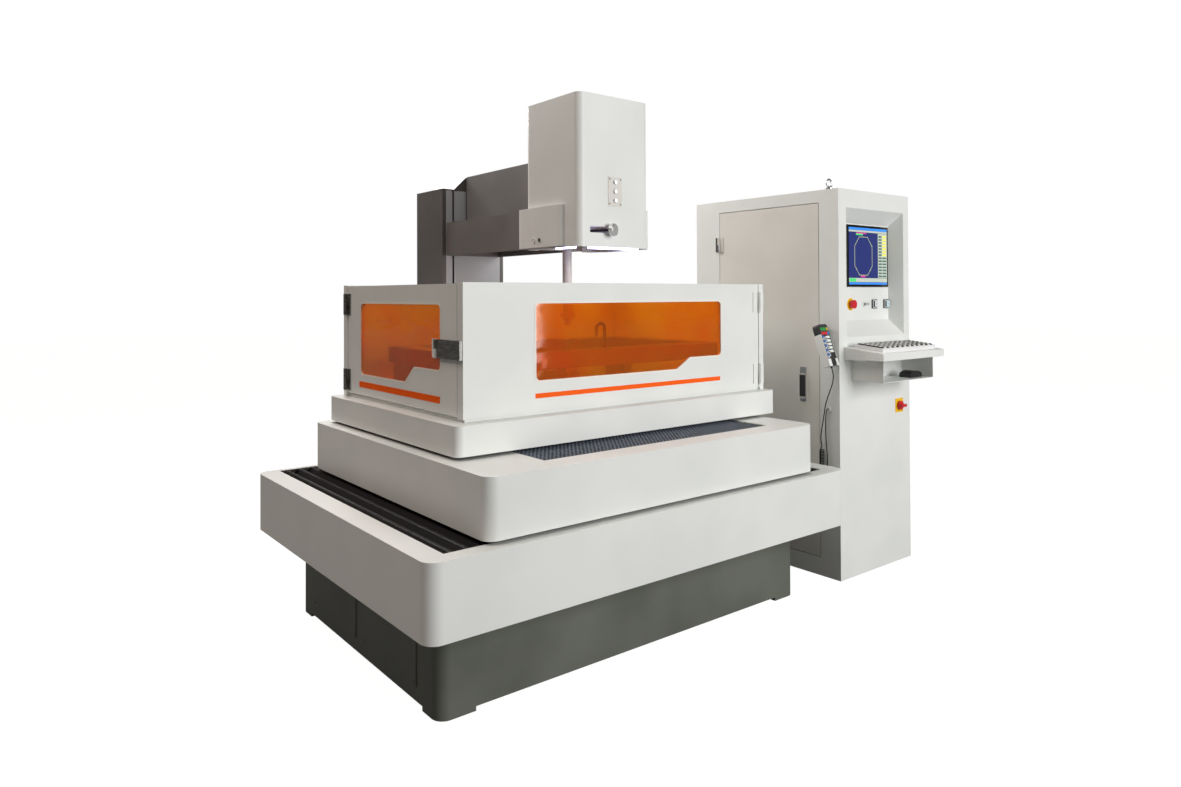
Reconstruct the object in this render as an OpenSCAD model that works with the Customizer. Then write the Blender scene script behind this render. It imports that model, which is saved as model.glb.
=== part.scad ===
// Wire EDM machine: a cross table on a cast bed, a column with upper and lower arms,
// a splash guard with two hinged doors, and a control cabinet that stands beside it.
// X runs along the machine's front, Y to the back, Z up. Lengths are in millimetres.

/* [Bed and drip pan] */
// Height of the cast bed
bed_h = 330; // [310:5:350]
// Width of the bed along the front
bed_w = 1786; // [1740:2:1830]
// Depth of the bed
bed_d = 1227; // [1200:1:1250]
// How far the bed's front stands behind the pan's front
bed_setback = 182; // [160:2:200]
// Radius of the bed's upright corners
bed_corner_r = 45; // [20:5:60]
// Wall of the castings
casting_wall = 30; // [24:2:36]
// Width of the drip pan
pan_w = 2046; // [2000:2:2100]
// Depth of the drip pan
pan_d = 1608; // [1580:2:1640]
// Height of the drip pan
pan_h = 242; // [230:2:260]
// Radius of the pan's upright corners
pan_corner_r = 50; // [20:5:60]
// Width of the pan's rim at the sides
pan_rim_side = 87; // [80:1:95]
// Width of the pan's rim at the front
pan_rim_front = 67; // [50:1:80]
// Sheet metal of the pan and the covers
sheet = 4; // [3:0.5:5]
// Gap between the moving layers of the stack
stack_gap = 12; // [10:1:16]

/* [Cross table] */
// Width of the saddle's cover
saddle_w = 1650; // [1620:2:1690]
// Depth of the saddle's cover
saddle_d = 1480; // [1460:2:1500]
// Height of the saddle's cover
saddle_h = 201; // [190:1:215]
// How far the saddle's front stands behind the pan's front
saddle_setback = 35; // [25:1:45]
// How far the saddle is right of the pan's middle
saddle_shift = 23; // [10:1:30]
// Width of the table tray
tray_w = 1686; // [1660:2:1700]
// Depth of the table tray
tray_d = 1150; // [1130:2:1160]
// Height of the table tray
tray_h = 106; // [96:1:120]
// How far the tray's front stands behind the pan's front
tray_setback = 313; // [305:1:320]
// How far the tray is right of the pan's middle
tray_shift = 89; // [80:1:95]
// Width of the cast work table
worktable_w = 1305; // [1285:2:1320]
// Depth of the cast work table
worktable_d = 780; // [760:2:790]
// Height of the work table's top above the tray's top
worktable_rise = 224; // [216:1:228]
// Width of each beam of the work table
worktable_beam = 100; // [90:1:105]
// Diameter of the clamp screw holes in the work table
clamp_hole_d = 10.2; // [8:0.1:14]

/* [Travels] */
// Table travel to the left
x_left = 315; // [280:5:320]
// Table travel to the right
x_right = 120; // [100:2:124]
// Table travel to the front
y_front = 380; // [350:2:384]
// Table travel to the back
y_back = 30; // [20:1:34]
// Upper arm travel down
z_down = 80; // [60:1:84]
// Upper arm travel up
z_up = 170; // [140:2:172]
// Taper travel of the head to each side
taper_travel = 15; // [8:1:16]

/* [Splash guard] */
// Height of the splash guard
guard_h = 483; // [470:1:500]
// Thickness of the guard's walls and doors
guard_wall = 25; // [20:1:28]
// Gap between the tray's top and the guard's bottom
sill_gap = 10; // [8:1:12]
// Inset of the guard from the tray at the left
guard_inset_left = 58; // [54:1:64]
// Inset of the guard from the tray at the right
guard_inset_right = 20; // [16:1:28]
// Inset of the guard from the tray at the front
guard_inset_front = 55; // [50:1:60]
// Inset of the guard from the tray at the back
guard_inset_back = 23; // [20:1:28]
// Thickness of the amber windows
pane_t = 6; // [4:1:8]
// Radius of the windows' corners
window_r = 18; // [8:1:24]

/* [Column and arms] */
// Width of the column
column_w = 358; // [346:2:370]
// Depth of the column
column_d = 278; // [270:2:290]
// Height of the column's flat top
column_top = 1951; // [1940:1:1960]
// How far the column is right of the pan's middle
column_shift = 27; // [20:1:32]
// Gap between the saddle's back and the column
column_gap = 11; // [10:1:16]
// Side walls of the column
column_wall = 21; // [18:1:24]
// Width of the upper arm's lower block
arm_w = 312; // [300:2:320]
// Height of the upper arm's lower block
arm_h = 165; // [160:1:172]
// Width of the upper arm's cover
arm_cover_w = 92; // [84:1:100]
// Height of the upper arm's cover
arm_cover_h = 238; // [226:1:250]
// Width of the lower arm
lower_arm_w = 110; // [100:1:116]
// Height of the lower arm
lower_arm_h = 120; // [110:1:124]

/* [Head] */
// Width of the head cover
head_w = 371; // [360:1:380]
// Depth of the head cover
head_d = 374; // [368:1:380]
// Height of the head cover
head_h = 614; // [600:2:640]
// Height of the head's bottom above the guard
head_clear = 146; // [136:1:150]
// How far the head's front stands behind the guard's front
head_setback = 30; // [24:1:34]
// Radius of the head's upright corners
head_corner_r = 28; // [15:1:32]
// How far the wire hangs left of the column's middle
wire_offset = 30; // [24:1:36]
// Distance of the wire from the guard's front
wire_depth = 316; // [310:1:322]
// Diameter of the guide tube
guide_tube_d = 40; // [30:1:44]
// Diameter of the wire
wire_d = 0.3; // [0.2:0.05:0.6]

/* [Control cabinet] */
// Width of the cabinet
cabinet_w = 608; // [590:2:630]
// Depth of the cabinet
cabinet_d = 920; // [900:2:960]
// Height of the cabinet
cabinet_h = 1850; // [1820:2:1900]
// Gap between the pan and the cabinet
cabinet_gap = 166; // [164:1:190]
// How far the cabinet's front stands behind the pan's front
cabinet_setback = 142; // [130:1:150]
// Width of the console recess
console_w = 505; // [490:1:510]
// Height of the console recess
console_h = 625; // [615:1:630]
// Depth of the console recess
console_depth = 70; // [60:1:80]
// Diameter of the emergency stop's cap
stop_d = 42; // [36:1:44]
// Size of the square push buttons
square_button = 30; // [26:1:34]
// Diameter of the main switch's knob
main_knob_d = 46; // [40:1:50]
// Diameter of the handset's cord
cord_d = 5; // [4:0.1:5.2]

/* [Hidden] */
$fn = 48;

// Colours
white_paint = "#e6e8e5";
bed_green = "#5b5f55";
dark_grey = "#4c4a47";
light_grey = "#a5a8ab";
bellows_black = "#1c1d20";
steel = "#b9bcc0";
amber = "#f07800";
warning_yellow = "#f2c21a";
stop_red = "#c8202a";
plastic_black = "#222326";

// Shared clearances
cut = 2;                 // overrun of every cut
slide_gap = 0.3;         // running gap of sliding faces
shaft_gap = 0.05;        // radial gap of a shaft in its bore
door_gap = 3;            // gap round a door
screw_d = 8;             // head of a cover screw
screw_rise = 1.5;        // how far a screw head stands out

// Heights of the stack
pan_z0 = bed_h;
pan_z1 = pan_z0 + pan_h;
saddle_z0 = pan_z1 + stack_gap;
saddle_z1 = saddle_z0 + saddle_h;
tray_z0 = saddle_z1 + stack_gap;
tray_z1 = tray_z0 + tray_h;
guard_z0 = tray_z1 + sill_gap;
guard_z1 = guard_z0 + guard_h;

// Plan of the bed and the pan
pan_mid = pan_w / 2;
bed_x0 = pan_mid - bed_w / 2;
bed_x1 = pan_mid + bed_w / 2;
bed_y0 = bed_setback;
bed_y1 = bed_y0 + bed_d;
foot_w = 137;            // width of each foot along the front
foot_d = 110;            // depth of each foot along the side
foot_relief = 15;        // how far the bed's underside clears the floor between the feet
access_z = 62;           // bottom of the access panels
access_h = 226;          // height of the access panels
access_w = 430;          // width of each access panel
access_gap = 66;         // gap between the two access panels
access_inset = 150;      // first access panel from the bed's front
access_t = 3;            // thickness of an access panel
access_screw_inset = 14; // screws from the panel's corners

// Plan of the saddle, the tray and the guard
saddle_x0 = pan_mid + saddle_shift - saddle_w / 2;
saddle_x1 = saddle_x0 + saddle_w;
saddle_y0 = saddle_setback;
saddle_y1 = saddle_y0 + saddle_d;
saddle_corner_r = 45;
tray_x0 = pan_mid + tray_shift - tray_w / 2;
tray_x1 = tray_x0 + tray_w;
tray_y0 = tray_setback;
tray_y1 = tray_y0 + tray_d;
tray_corner_r = 30;
guard_x0 = tray_x0 + guard_inset_left;
guard_x1 = tray_x1 - guard_inset_right;
guard_y0 = tray_y0 + guard_inset_front;
guard_y1 = tray_y1 - guard_inset_back;

// Plan of the column, the arms and the head
column_mid = pan_mid + column_shift;
column_x0 = column_mid - column_w / 2;
column_x1 = column_mid + column_w / 2;
column_y0 = saddle_y1 + column_gap;
column_y1 = column_y0 + column_d;
wire_x = column_mid - wire_offset;
wire_y = guard_y0 + wire_depth;
head_x0 = column_mid - head_w / 2;
head_x1 = column_mid + head_w / 2;
head_y0 = guard_y0 + head_setback;
head_y1 = head_y0 + head_d;
head_z0 = guard_z1 + head_clear;
head_z1 = head_z0 + head_h;
head_sheet = 3;
arm_head_gap = 63;       // room between the head's back and the arm's front
arm_column_gap = 6;      // gap between the arm and the column
arm_x0 = column_mid - arm_w / 2;
arm_x1 = column_mid + arm_w / 2;
arm_y0 = head_y1 + arm_head_gap;
arm_y1 = column_y0 - arm_column_gap;
arm_rise = 8;            // arm's bottom above the head's bottom
arm_z0 = head_z0 + arm_rise;
arm_z1 = arm_z0 + arm_h;

// Plan of the cabinet
cabinet_x0 = pan_w + cabinet_gap;
cabinet_x1 = cabinet_x0 + cabinet_w;
cabinet_y0 = cabinet_setback;
cabinet_y1 = cabinet_y0 + cabinet_d;
shelf_reach = 207;       // how far the keyboard shelf stands out
drum_housing_d = 320;    // depth of the drum's housing
lid_overhang = 5;        // drum lid past its housing

// The origin is on the floor, at the middle of the whole machine's box
origin_x = cabinet_x1 / 2;
origin_y = (cabinet_y0 - shelf_reach + column_y1 + drum_housing_d + lid_overhang) / 2;

// Sliding ways and bearing blocks
way_w = 45;
way_h = 40;
block_l = 140;
block_w = 100;
block_drop = 15;         // bottom of a bearing block above the rail's foot
block_rise = 65;         // carriage underside above the rail's foot
screw_rise_x = 70;       // ball screw axis above the bed
screw_rise_y = 50;       // ball screw axis above the saddle's deck
screw_journal_share = 0.78;
x_screw_d = 32;
y_screw_d = 25;
nut_wall = 18;
nut_l = 120;
support_l = 40;
motor_l = 130;
motor_size_x = 110;
motor_size_y = 88;
motor_room = 25;         // room for the coupling between a support and its motor
coupling_l = 20;
channel_w = 120;         // channel for the ball screw under a carriage
channel_h = 48;
end_room = 10;           // spare travel at each end of the covers

// Way covers in three sections: one stays, one is half way, one rides
sections = 3;
lap = 20;
cover_t = 2;
pleat_x = 14;            // depth of the pleats along X
pleat_y = 6;             // depth of the pleats along Y
cover_step = 0.4;        // gap between one section and the next
under_rim = 8;           // how far a cover reaches under the rim that holds it
pleats_per_section = 6;
mat_pleats = 10;
function need(to, away) = (sections * (to + end_room) + away + (sections - 1) * lap) / (sections - 1);
x_section = need(x_left, x_right) - x_left - end_room;
y_section = need(y_front, y_back) - y_front - end_room;
pan_open_x0 = pan_rim_side;
pan_open_x1 = pan_w - pan_rim_side;
pan_open_y0 = pan_rim_front;
pan_rim_back = 28;
pan_open_y1_left = pan_d - pan_rim_back;
pan_open_y1_right = saddle_y1 - end_room - under_rim;
x_carriage_x0 = pan_open_x0 + need(x_left, x_right);
x_carriage_x1 = pan_open_x1 - need(x_right, x_left);
saddle_rim_left = 294;
saddle_rim_right = 183;
saddle_rim_front = 110;
saddle_rim_back = 25;
saddle_open_x0 = saddle_x0 + saddle_rim_left;
saddle_open_x1 = saddle_x1 - saddle_rim_right;
saddle_open_y0 = saddle_y0 + saddle_rim_front;
saddle_open_y1 = saddle_y1 - saddle_rim_back;
pedestal_y0 = saddle_open_y0 + need(y_front, y_back);
pedestal_y1 = saddle_open_y1 - need(y_back, y_front);
pedestal_side_gap = 5;
x_mat_z1 = pan_z1 - sheet;
x_stage_z1 = x_mat_z1 - pleat_x - cover_t - cover_step;
x_wing_z1 = x_stage_z1 - cover_t - cover_step;
y_mat_z1 = saddle_z1 - sheet;
y_stage_z1 = y_mat_z1 - pleat_y - cover_t - cover_step;
y_wing_z1 = y_stage_z1 - cover_t - cover_step;

// Saddle casting
x_way_y_front = 380;     // front rail from the pan's front
x_way_y_back = 1230;     // back rail from the pan's front
x_way_inset = 30;        // rail ends from the bed's ends
carriage_side = 80;      // carriage beside its rails
deck_rise = 6;           // deck's underside above the saddle cover's bottom
deck_h = 60;
deck_inset = 15;         // deck inside the saddle cover
flange_h = 60;           // flange that fills the pan's opening
flange_gap = 8;
curb_w = 10;             // curb that carries the saddle cover
x_carriage_z0 = bed_h + block_rise;
deck_z0 = saddle_z0 + deck_rise;
deck_z1 = deck_z0 + deck_h;
y_way_left = 204.5;      // Y rails inside the saddle cover's opening
y_way_right = 166.5;
y_way_x0 = saddle_open_x0 + y_way_left;
y_way_x1 = saddle_open_x1 - y_way_right;
pedestal_z0 = deck_z1 + block_rise;
y_screw_x = (y_way_x0 + y_way_x1) / 2;
x_screw_y = (x_way_y_front + x_way_y_back) / 2;
x_screw_z = bed_h + screw_rise_x;
y_screw_z = deck_z1 + screw_rise_y;
x_support_left = bed_x0 + x_way_inset + motor_room;
x_support_right = x_carriage_x1 + x_right + end_room;
y_support_front = pedestal_y0 - y_front - end_room - support_l;
y_support_back = pedestal_y1 + y_back + end_room;

// Table casting and tray
table_plate_h = 50;
table_inset = 20;
tray_floor_z = tray_z0 + table_plate_h;
tray_lip_left = 88;
tray_lip_right = 50;
tray_lip_front = 85;
tray_lip_back = 53;

// Work table on its two side walls
worktable_top = tray_z1 + worktable_rise;
worktable_shift = 10;    // how far the work table is left of the tray's middle
worktable_setback = 82;  // work table behind the guard's front
worktable_x0 = (tray_x0 + tray_x1) / 2 - worktable_shift - worktable_w / 2;
worktable_x1 = worktable_x0 + worktable_w;
worktable_y0 = guard_y0 + worktable_setback;
worktable_y1 = worktable_y0 + worktable_d;
worktable_beam_h = 67;
clamp_hole_depth = 30;
worktable_foot_h = 20;
worktable_foot_out = 20;

module place() {
    translate([-origin_x, -origin_y, 0]) children();
}
module span(a, b) {
    translate(a) cube(b - a);
}
module rounded_square(w, d, r) {
    translate([r, 0]) square([w - 2 * r, d]);
    translate([0, r]) square([w, d - 2 * r]);
    for (x = [r, w - r], y = [r, d - r]) translate([x, y]) circle(r);
}
module rounded_span(a, b, r) {
    translate(a) linear_extrude(b.z - a.z) rounded_square(b.x - a.x, b.y - a.y, r);
}
module rod_x(p, d, l) {
    translate(p) rotate([0, 90, 0]) cylinder(d = d, h = l);
}
module rod_y(p, d, l) {
    translate(p) rotate([-90, 0, 0]) cylinder(d = d, h = l);
}
module rod_z(p, d, l) {
    translate(p) cylinder(d = d, h = l);
}
function unit(v) = v / norm(v);
function fillet(a, b, c, r) = let (
    u = unit(a - b), v = unit(c - b), half = acos(u * v) / 2,
    o = b + unit(u + v) * r / sin(half), p = b + u * r / tan(half), q = b + v * r / tan(half),
    from = atan2(p.y - o.y, p.x - o.x), turn = (atan2(q.y - o.y, q.x - o.x) - from + 540) % 360 - 180
) [for (k = [0 : corner_steps]) o + r * [cos(from + turn * k / corner_steps), sin(from + turn * k / corner_steps)]];
function rounded(p, r) = [for (i = [0 : len(p) - 1])
    each fillet(p[(i + len(p) - 1) % len(p)], p[i], p[(i + 1) % len(p)], r)];
corner_steps = 6;

// A profile drawn in X and Z, carried along Y, and one drawn in Y and Z, carried along X
module along_y(y0, y1) {
    translate([0, y1, 0]) rotate([90, 0, 0]) linear_extrude(y1 - y0) children();
}
module along_x(x0, x1) {
    translate([x0, 0, 0]) rotate([90, 0, 90]) linear_extrude(x1 - x0) children();
}
module zigzag(start, length, top, depth, pleats) {
    step = length / (2 * pleats);
    upper = [for (i = [0 : 2 * pleats]) [start + i * step, top - (i % 2) * depth]];
    lower = [for (i = [2 * pleats : -1 : 0]) [start + i * step, top - (i % 2) * depth - cover_t]];
    polygon(concat(upper, lower));
}
module bearing_block_x(x, y, z) {
    difference() {
        span([x, y - block_w / 2, z + block_drop], [x + block_l, y + block_w / 2, z + block_rise]);
        span([x - cut, y - way_w / 2 - slide_gap, z], [x + block_l + cut, y + way_w / 2 + slide_gap, z + way_h + slide_gap]);
    }
}
module bearing_block_y(x, y, z) {
    difference() {
        span([x - block_w / 2, y, z + block_drop], [x + block_w / 2, y + block_l, z + block_rise]);
        span([x - way_w / 2 - slide_gap, y - cut, z], [x + way_w / 2 + slide_gap, y + block_l + cut, z + way_h + slide_gap]);
    }
}

// Column foot, pan notch and bed tail
riser_h = 230;
column_z0 = bed_h + riser_h;
riser_out = 30;
riser_front = 8;
riser_x0 = column_x0 - riser_out;
riser_x1 = column_x1 + riser_out;
riser_y0 = column_y0 - riser_front;
riser_y1 = column_y1 + riser_out;
tail_out = 110;
tail_back = 26;
tail_x0 = column_x0 - tail_out;
tail_x1 = column_x1 + tail_out;
tail_y1 = riser_y1 + tail_back;
notch_gap = 6;
notch_x0 = riser_x0 - notch_gap;
notch_x1 = riser_x1 + notch_gap;
notch_y0 = riser_y0 - notch_gap;
bed_pockets_x = 6;
bed_pockets_y = 4;
bed_seat_x = 24;         // ring of the pan's floor on the bed, at the sides
bed_seat_y = 60;         // and at the front and back

module bed_casting() color(bed_green) place() {
    pocket_w = (bed_w - casting_wall) / bed_pockets_x;
    pocket_d = (bed_d - casting_wall) / bed_pockets_y;
    difference() {
        union() {
            rounded_span([bed_x0, bed_y0, 0], [bed_x1, bed_y1, bed_h], bed_corner_r);
            span([tail_x0, bed_y1 - bed_corner_r, 0], [tail_x1, tail_y1, bed_h]);
            span([riser_x0, riser_y0, bed_h - cut], [riser_x1, riser_y1, column_z0]);
        }
        for (i = [0 : bed_pockets_x - 1], j = [0 : bed_pockets_y - 1]) {
            corner = [bed_x0 + casting_wall + i * pocket_w, bed_y0 + casting_wall + j * pocket_d, -cut];
            span(corner, corner + [pocket_w - casting_wall, pocket_d - casting_wall, bed_h - casting_wall + cut]);
        }
        span([riser_x0 + casting_wall, riser_y0 + casting_wall, -cut],
             [riser_x1 - casting_wall, riser_y1 - casting_wall, column_z0 - casting_wall]);
        span([bed_x0 + foot_w, bed_y0 - cut, -cut], [bed_x1 - foot_w, bed_y1 - foot_d, foot_relief]);
        span([bed_x0 - cut, bed_y0 + foot_d, -cut], [bed_x1 + cut, bed_y1 - foot_d, foot_relief]);
    }
    for (i = [0, 1]) {
        y = bed_y0 + access_inset + i * (access_w + access_gap);
        span([bed_x0 - access_t, y, access_z], [bed_x0, y + access_w, access_z + access_h]);
        for (j = [access_screw_inset, access_w - access_screw_inset], k = [access_screw_inset, access_h - access_screw_inset])
            rod_x([bed_x0 - access_t - screw_rise, y + j, access_z + k], screw_d, screw_rise);
    }
}

module drip_pan() color(white_paint) place() {
    difference() {
        union() {
            difference() {
                rounded_span([0, 0, pan_z0], [pan_w, pan_d, pan_z1], pan_corner_r);
                rounded_span([sheet, sheet, pan_z0 + sheet], [pan_w - sheet, pan_d - sheet, pan_z1 - sheet],
                    pan_corner_r - sheet);
            }
            span([notch_x0 - sheet, notch_y0 - sheet, pan_z0], [notch_x1 + sheet, pan_d, pan_z1]);
        }
        span([notch_x0, notch_y0, pan_z0 - cut], [notch_x1, pan_d + cut, pan_z1 + cut]);
        span([pan_open_x0, pan_open_y0, pan_z1 - sheet - cut],
             [notch_x0 - sheet - under_rim, pan_open_y1_left, pan_z1 + cut]);
        span([notch_x0 - sheet - under_rim - cut, pan_open_y0, pan_z1 - sheet - cut],
             [pan_open_x1, pan_open_y1_right, pan_z1 + cut]);
        span([bed_x0 + bed_seat_x, bed_y0 + bed_seat_y, pan_z0 - cut],
             [bed_x1 - bed_seat_x, bed_y1 - bed_seat_y, pan_z0 + sheet + cut]);
    }
}

module x_ways() color(steel) place() {
    journal = x_screw_d * screw_journal_share + 2 * shaft_gap;
    motor_x = x_support_right + support_l + motor_room;
    for (y = [x_way_y_front, x_way_y_back])
        span([bed_x0 + x_way_inset, y - way_w / 2, bed_h], [bed_x1 - x_way_inset, y + way_w / 2, bed_h + way_h]);
    for (x = [x_support_left, x_support_right]) difference() {
        span([x, x_screw_y - support_l, bed_h], [x + support_l, x_screw_y + support_l, x_screw_z + support_l]);
        rod_x([x - cut, x_screw_y, x_screw_z], journal, support_l + 2 * cut);
    }
    span([motor_x, x_screw_y - motor_size_x / 2, x_screw_z - motor_size_x / 2],
         [motor_x + motor_l, x_screw_y + motor_size_x / 2, x_screw_z + motor_size_x / 2]);
    span([motor_x, x_screw_y - motor_size_x / 2, bed_h],
         [motor_x + support_l, x_screw_y + motor_size_x / 2, x_screw_z - motor_size_x / 2]);
}

module x_ball_screw() color(steel) place() {
    journal = x_screw_d * screw_journal_share;
    rod_x([x_support_left - cut, x_screw_y, x_screw_z], journal,
        x_support_right + support_l + coupling_l + 2 * cut - x_support_left);
    rod_x([x_support_left + support_l + slide_gap, x_screw_y, x_screw_z], x_screw_d,
        x_support_right - x_support_left - support_l - 2 * slide_gap);
    rod_x([x_support_right + support_l + cut, x_screw_y, x_screw_z], x_screw_d, coupling_l);
}

x_cover_y0 = pan_open_y0 - under_rim;
x_cover_y1_left = pan_open_y1_left + under_rim;
x_cover_y1_right = pan_open_y1_right + under_rim;
module x_cover_outer() color(bellows_black) place() {
    along_y(x_cover_y0, x_cover_y1_left) zigzag(pan_open_x0, x_section, x_mat_z1, pleat_x, pleats_per_section);
    along_y(x_cover_y0, x_cover_y1_right)
        zigzag(pan_open_x1 - x_section, x_section, x_mat_z1, pleat_x, pleats_per_section);
}

module x_cover_stage() color(bellows_black) place() {
    left = pan_open_x0 + (need(x_left, x_right) - x_section) / 2;
    right = pan_open_x1 - (need(x_right, x_left) - x_section) / 2;
    span([left, x_cover_y0, x_stage_z1 - cover_t], [left + x_section, x_cover_y1_left, x_stage_z1]);
    span([right - x_section, x_cover_y0, x_stage_z1 - cover_t], [right, x_cover_y1_right, x_stage_z1]);
}

block_inset = 20;
pocket_roof = 40;
module saddle_casting() color(bed_green) place() {
    mid = (x_carriage_x0 + x_carriage_x1) / 2;
    nut_r = x_screw_d / 2 + nut_wall;
    y0 = x_way_y_front - carriage_side;
    y1 = x_way_y_back + carriage_side;
    difference() {
        union() {
            span([x_carriage_x0, y0, x_carriage_z0], [x_carriage_x1, y1, deck_z0 + cut]);
            span([x_carriage_x0, pan_open_y0 + flange_gap, deck_z0 - flange_h],
                 [x_carriage_x1, pan_open_y1_right - flange_gap, deck_z0 + cut]);
            rounded_span([saddle_x0 + deck_inset, saddle_y0 + deck_inset, deck_z0],
                [saddle_x1 - deck_inset, saddle_y1 - deck_inset, deck_z1], saddle_corner_r - sheet);
            difference() {
                span([saddle_open_x0 - curb_w, saddle_open_y0 - curb_w, deck_z1 - cut],
                     [saddle_open_x1 + curb_w, saddle_open_y1 + curb_w, saddle_z1 - sheet]);
                span([saddle_open_x0, saddle_open_y0, deck_z1], [saddle_open_x1, saddle_open_y1, saddle_z1]);
            }
            for (x = [x_carriage_x0 + block_inset, x_carriage_x1 - block_inset - block_l], y = [x_way_y_front, x_way_y_back])
                bearing_block_x(x, y, bed_h);
        }
        span([x_carriage_x0 - cut, x_screw_y - channel_w / 2, x_carriage_z0 - cut],
             [x_carriage_x1 + cut, x_screw_y + channel_w / 2, x_carriage_z0 + channel_h]);
        for (side = [-1, 1]) {
            a = x_screw_y + side * (channel_w / 2 + casting_wall);
            b = side < 0 ? y0 + block_w + casting_wall : y1 - block_w - casting_wall;
            span([x_carriage_x0 + casting_wall, min(a, b), x_carriage_z0 - cut],
                 [x_carriage_x1 - casting_wall, max(a, b), deck_z0 - pocket_roof]);
        }
    }
    difference() {
        span([mid - nut_l / 2, x_screw_y - nut_r, x_screw_z - nut_r],
             [mid + nut_l / 2, x_screw_y + nut_r, x_carriage_z0 + channel_h]);
        rod_x([mid - nut_l / 2 - cut, x_screw_y, x_screw_z], x_screw_d + 2 * shaft_gap, nut_l + 2 * cut);
    }
}

module saddle_cover() color(white_paint) place() {
    difference() {
        rounded_span([saddle_x0, saddle_y0, saddle_z0], [saddle_x1, saddle_y1, saddle_z1], saddle_corner_r);
        rounded_span([saddle_x0 + sheet, saddle_y0 + sheet, saddle_z0 - cut],
            [saddle_x1 - sheet, saddle_y1 - sheet, saddle_z1 - sheet], saddle_corner_r - sheet);
        span([saddle_open_x0, saddle_open_y0, saddle_z1 - sheet - cut], [saddle_open_x1, saddle_open_y1, saddle_z1 + cut]);
    }
}

y_rail_spare = 20;
module y_ways() color(steel) place() {
    journal = y_screw_d * screw_journal_share + 2 * shaft_gap;
    motor_y = y_support_front - motor_room - motor_l;
    for (x = [y_way_x0, y_way_x1])
        span([x - way_w / 2, pedestal_y0 - y_front - y_rail_spare, deck_z1],
             [x + way_w / 2, pedestal_y1 + y_back + y_rail_spare, deck_z1 + way_h]);
    for (y = [y_support_front, y_support_back]) difference() {
        span([y_screw_x - support_l, y, deck_z1], [y_screw_x + support_l, y + support_l, y_screw_z + support_l]);
        rod_y([y_screw_x, y - cut, y_screw_z], journal, support_l + 2 * cut);
    }
    span([y_screw_x - motor_size_y / 2, motor_y, y_screw_z - motor_size_y / 2],
         [y_screw_x + motor_size_y / 2, motor_y + motor_l, y_screw_z + motor_size_y / 2]);
    span([y_screw_x - motor_size_y / 2, motor_y, deck_z1],
         [y_screw_x + motor_size_y / 2, motor_y + support_l, y_screw_z - motor_size_y / 2]);
}

module y_ball_screw() color(steel) place() {
    journal = y_screw_d * screw_journal_share;
    rod_y([y_screw_x, y_support_front - cut - coupling_l, y_screw_z], journal,
        y_support_back + support_l + coupling_l + 2 * cut - y_support_front);
    rod_y([y_screw_x, y_support_front + support_l + slide_gap, y_screw_z], y_screw_d,
        y_support_back - y_support_front - support_l - 2 * slide_gap);
    rod_y([y_screw_x, y_support_front - cut - coupling_l, y_screw_z], y_screw_d, coupling_l);
}

y_cover_x0 = saddle_open_x0 + pedestal_side_gap;
y_cover_x1 = saddle_open_x1 - pedestal_side_gap;
module saddle_way_covers() color(bellows_black) place() {
    span([x_carriage_x0 - x_section, x_cover_y0, x_wing_z1 - cover_t], [x_carriage_x0, x_cover_y1_left, x_wing_z1]);
    span([x_carriage_x1, x_cover_y0, x_wing_z1 - cover_t], [x_carriage_x1 + x_section, x_cover_y1_right, x_wing_z1]);
    along_x(y_cover_x0, y_cover_x1) zigzag(saddle_open_y0, y_section, y_mat_z1, pleat_y, mat_pleats);
    along_x(y_cover_x0, y_cover_x1) zigzag(saddle_open_y1 - y_section, y_section, y_mat_z1, pleat_y, mat_pleats);
}

module y_cover_stage() color(bellows_black) place() {
    front = saddle_open_y0 + (need(y_front, y_back) - y_section) / 2;
    back = saddle_open_y1 - (need(y_back, y_front) - y_section) / 2;
    span([y_cover_x0, front, y_stage_z1 - cover_t], [y_cover_x1, front + y_section, y_stage_z1]);
    span([y_cover_x0, back - y_section, y_stage_z1 - cover_t], [y_cover_x1, back, y_stage_z1]);
}

table_plate_skin = 14;
table_pockets_x = 6;
table_pockets_y = 4;
module table_casting() color(bed_green) place() {
    nut_r = y_screw_d / 2 + nut_wall;
    mid = (pedestal_y0 + pedestal_y1) / 2;
    plate_w = tray_w - 2 * table_inset;
    plate_d = tray_d - 2 * table_inset;
    pocket_w = (plate_w - casting_wall) / table_pockets_x;
    pocket_d = (plate_d - casting_wall) / table_pockets_y;
    difference() {
        union() {
            span([y_cover_x0, pedestal_y0, pedestal_z0], [y_cover_x1, pedestal_y1, tray_z0 + cut]);
            rounded_span([tray_x0 + table_inset, tray_y0 + table_inset, tray_z0],
                [tray_x1 - table_inset, tray_y1 - table_inset, tray_floor_z], tray_corner_r - sheet);
            for (x = [y_way_x0, y_way_x1], y = [pedestal_y0 + block_inset, pedestal_y1 - block_inset - block_l])
                bearing_block_y(x, y, deck_z1);
        }
        span([y_screw_x - channel_w / 2, pedestal_y0 - cut, pedestal_z0 - cut],
             [y_screw_x + channel_w / 2, pedestal_y1 + cut, pedestal_z0 + channel_h]);
        for (i = [0 : table_pockets_x - 1], j = [0 : table_pockets_y - 1]) {
            corner = [tray_x0 + table_inset + casting_wall + i * pocket_w,
                      tray_y0 + table_inset + casting_wall + j * pocket_d, tray_z0 + table_plate_skin];
            span(corner, corner + [pocket_w - casting_wall, pocket_d - casting_wall, table_plate_h]);
        }
    }
    difference() {
        span([y_screw_x - nut_r, mid - nut_l / 2, y_screw_z - nut_r],
             [y_screw_x + nut_r, mid + nut_l / 2, pedestal_z0 + channel_h]);
        rod_y([y_screw_x, mid - nut_l / 2 - cut, y_screw_z], y_screw_d + 2 * shaft_gap, nut_l + 2 * cut);
    }
}

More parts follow.
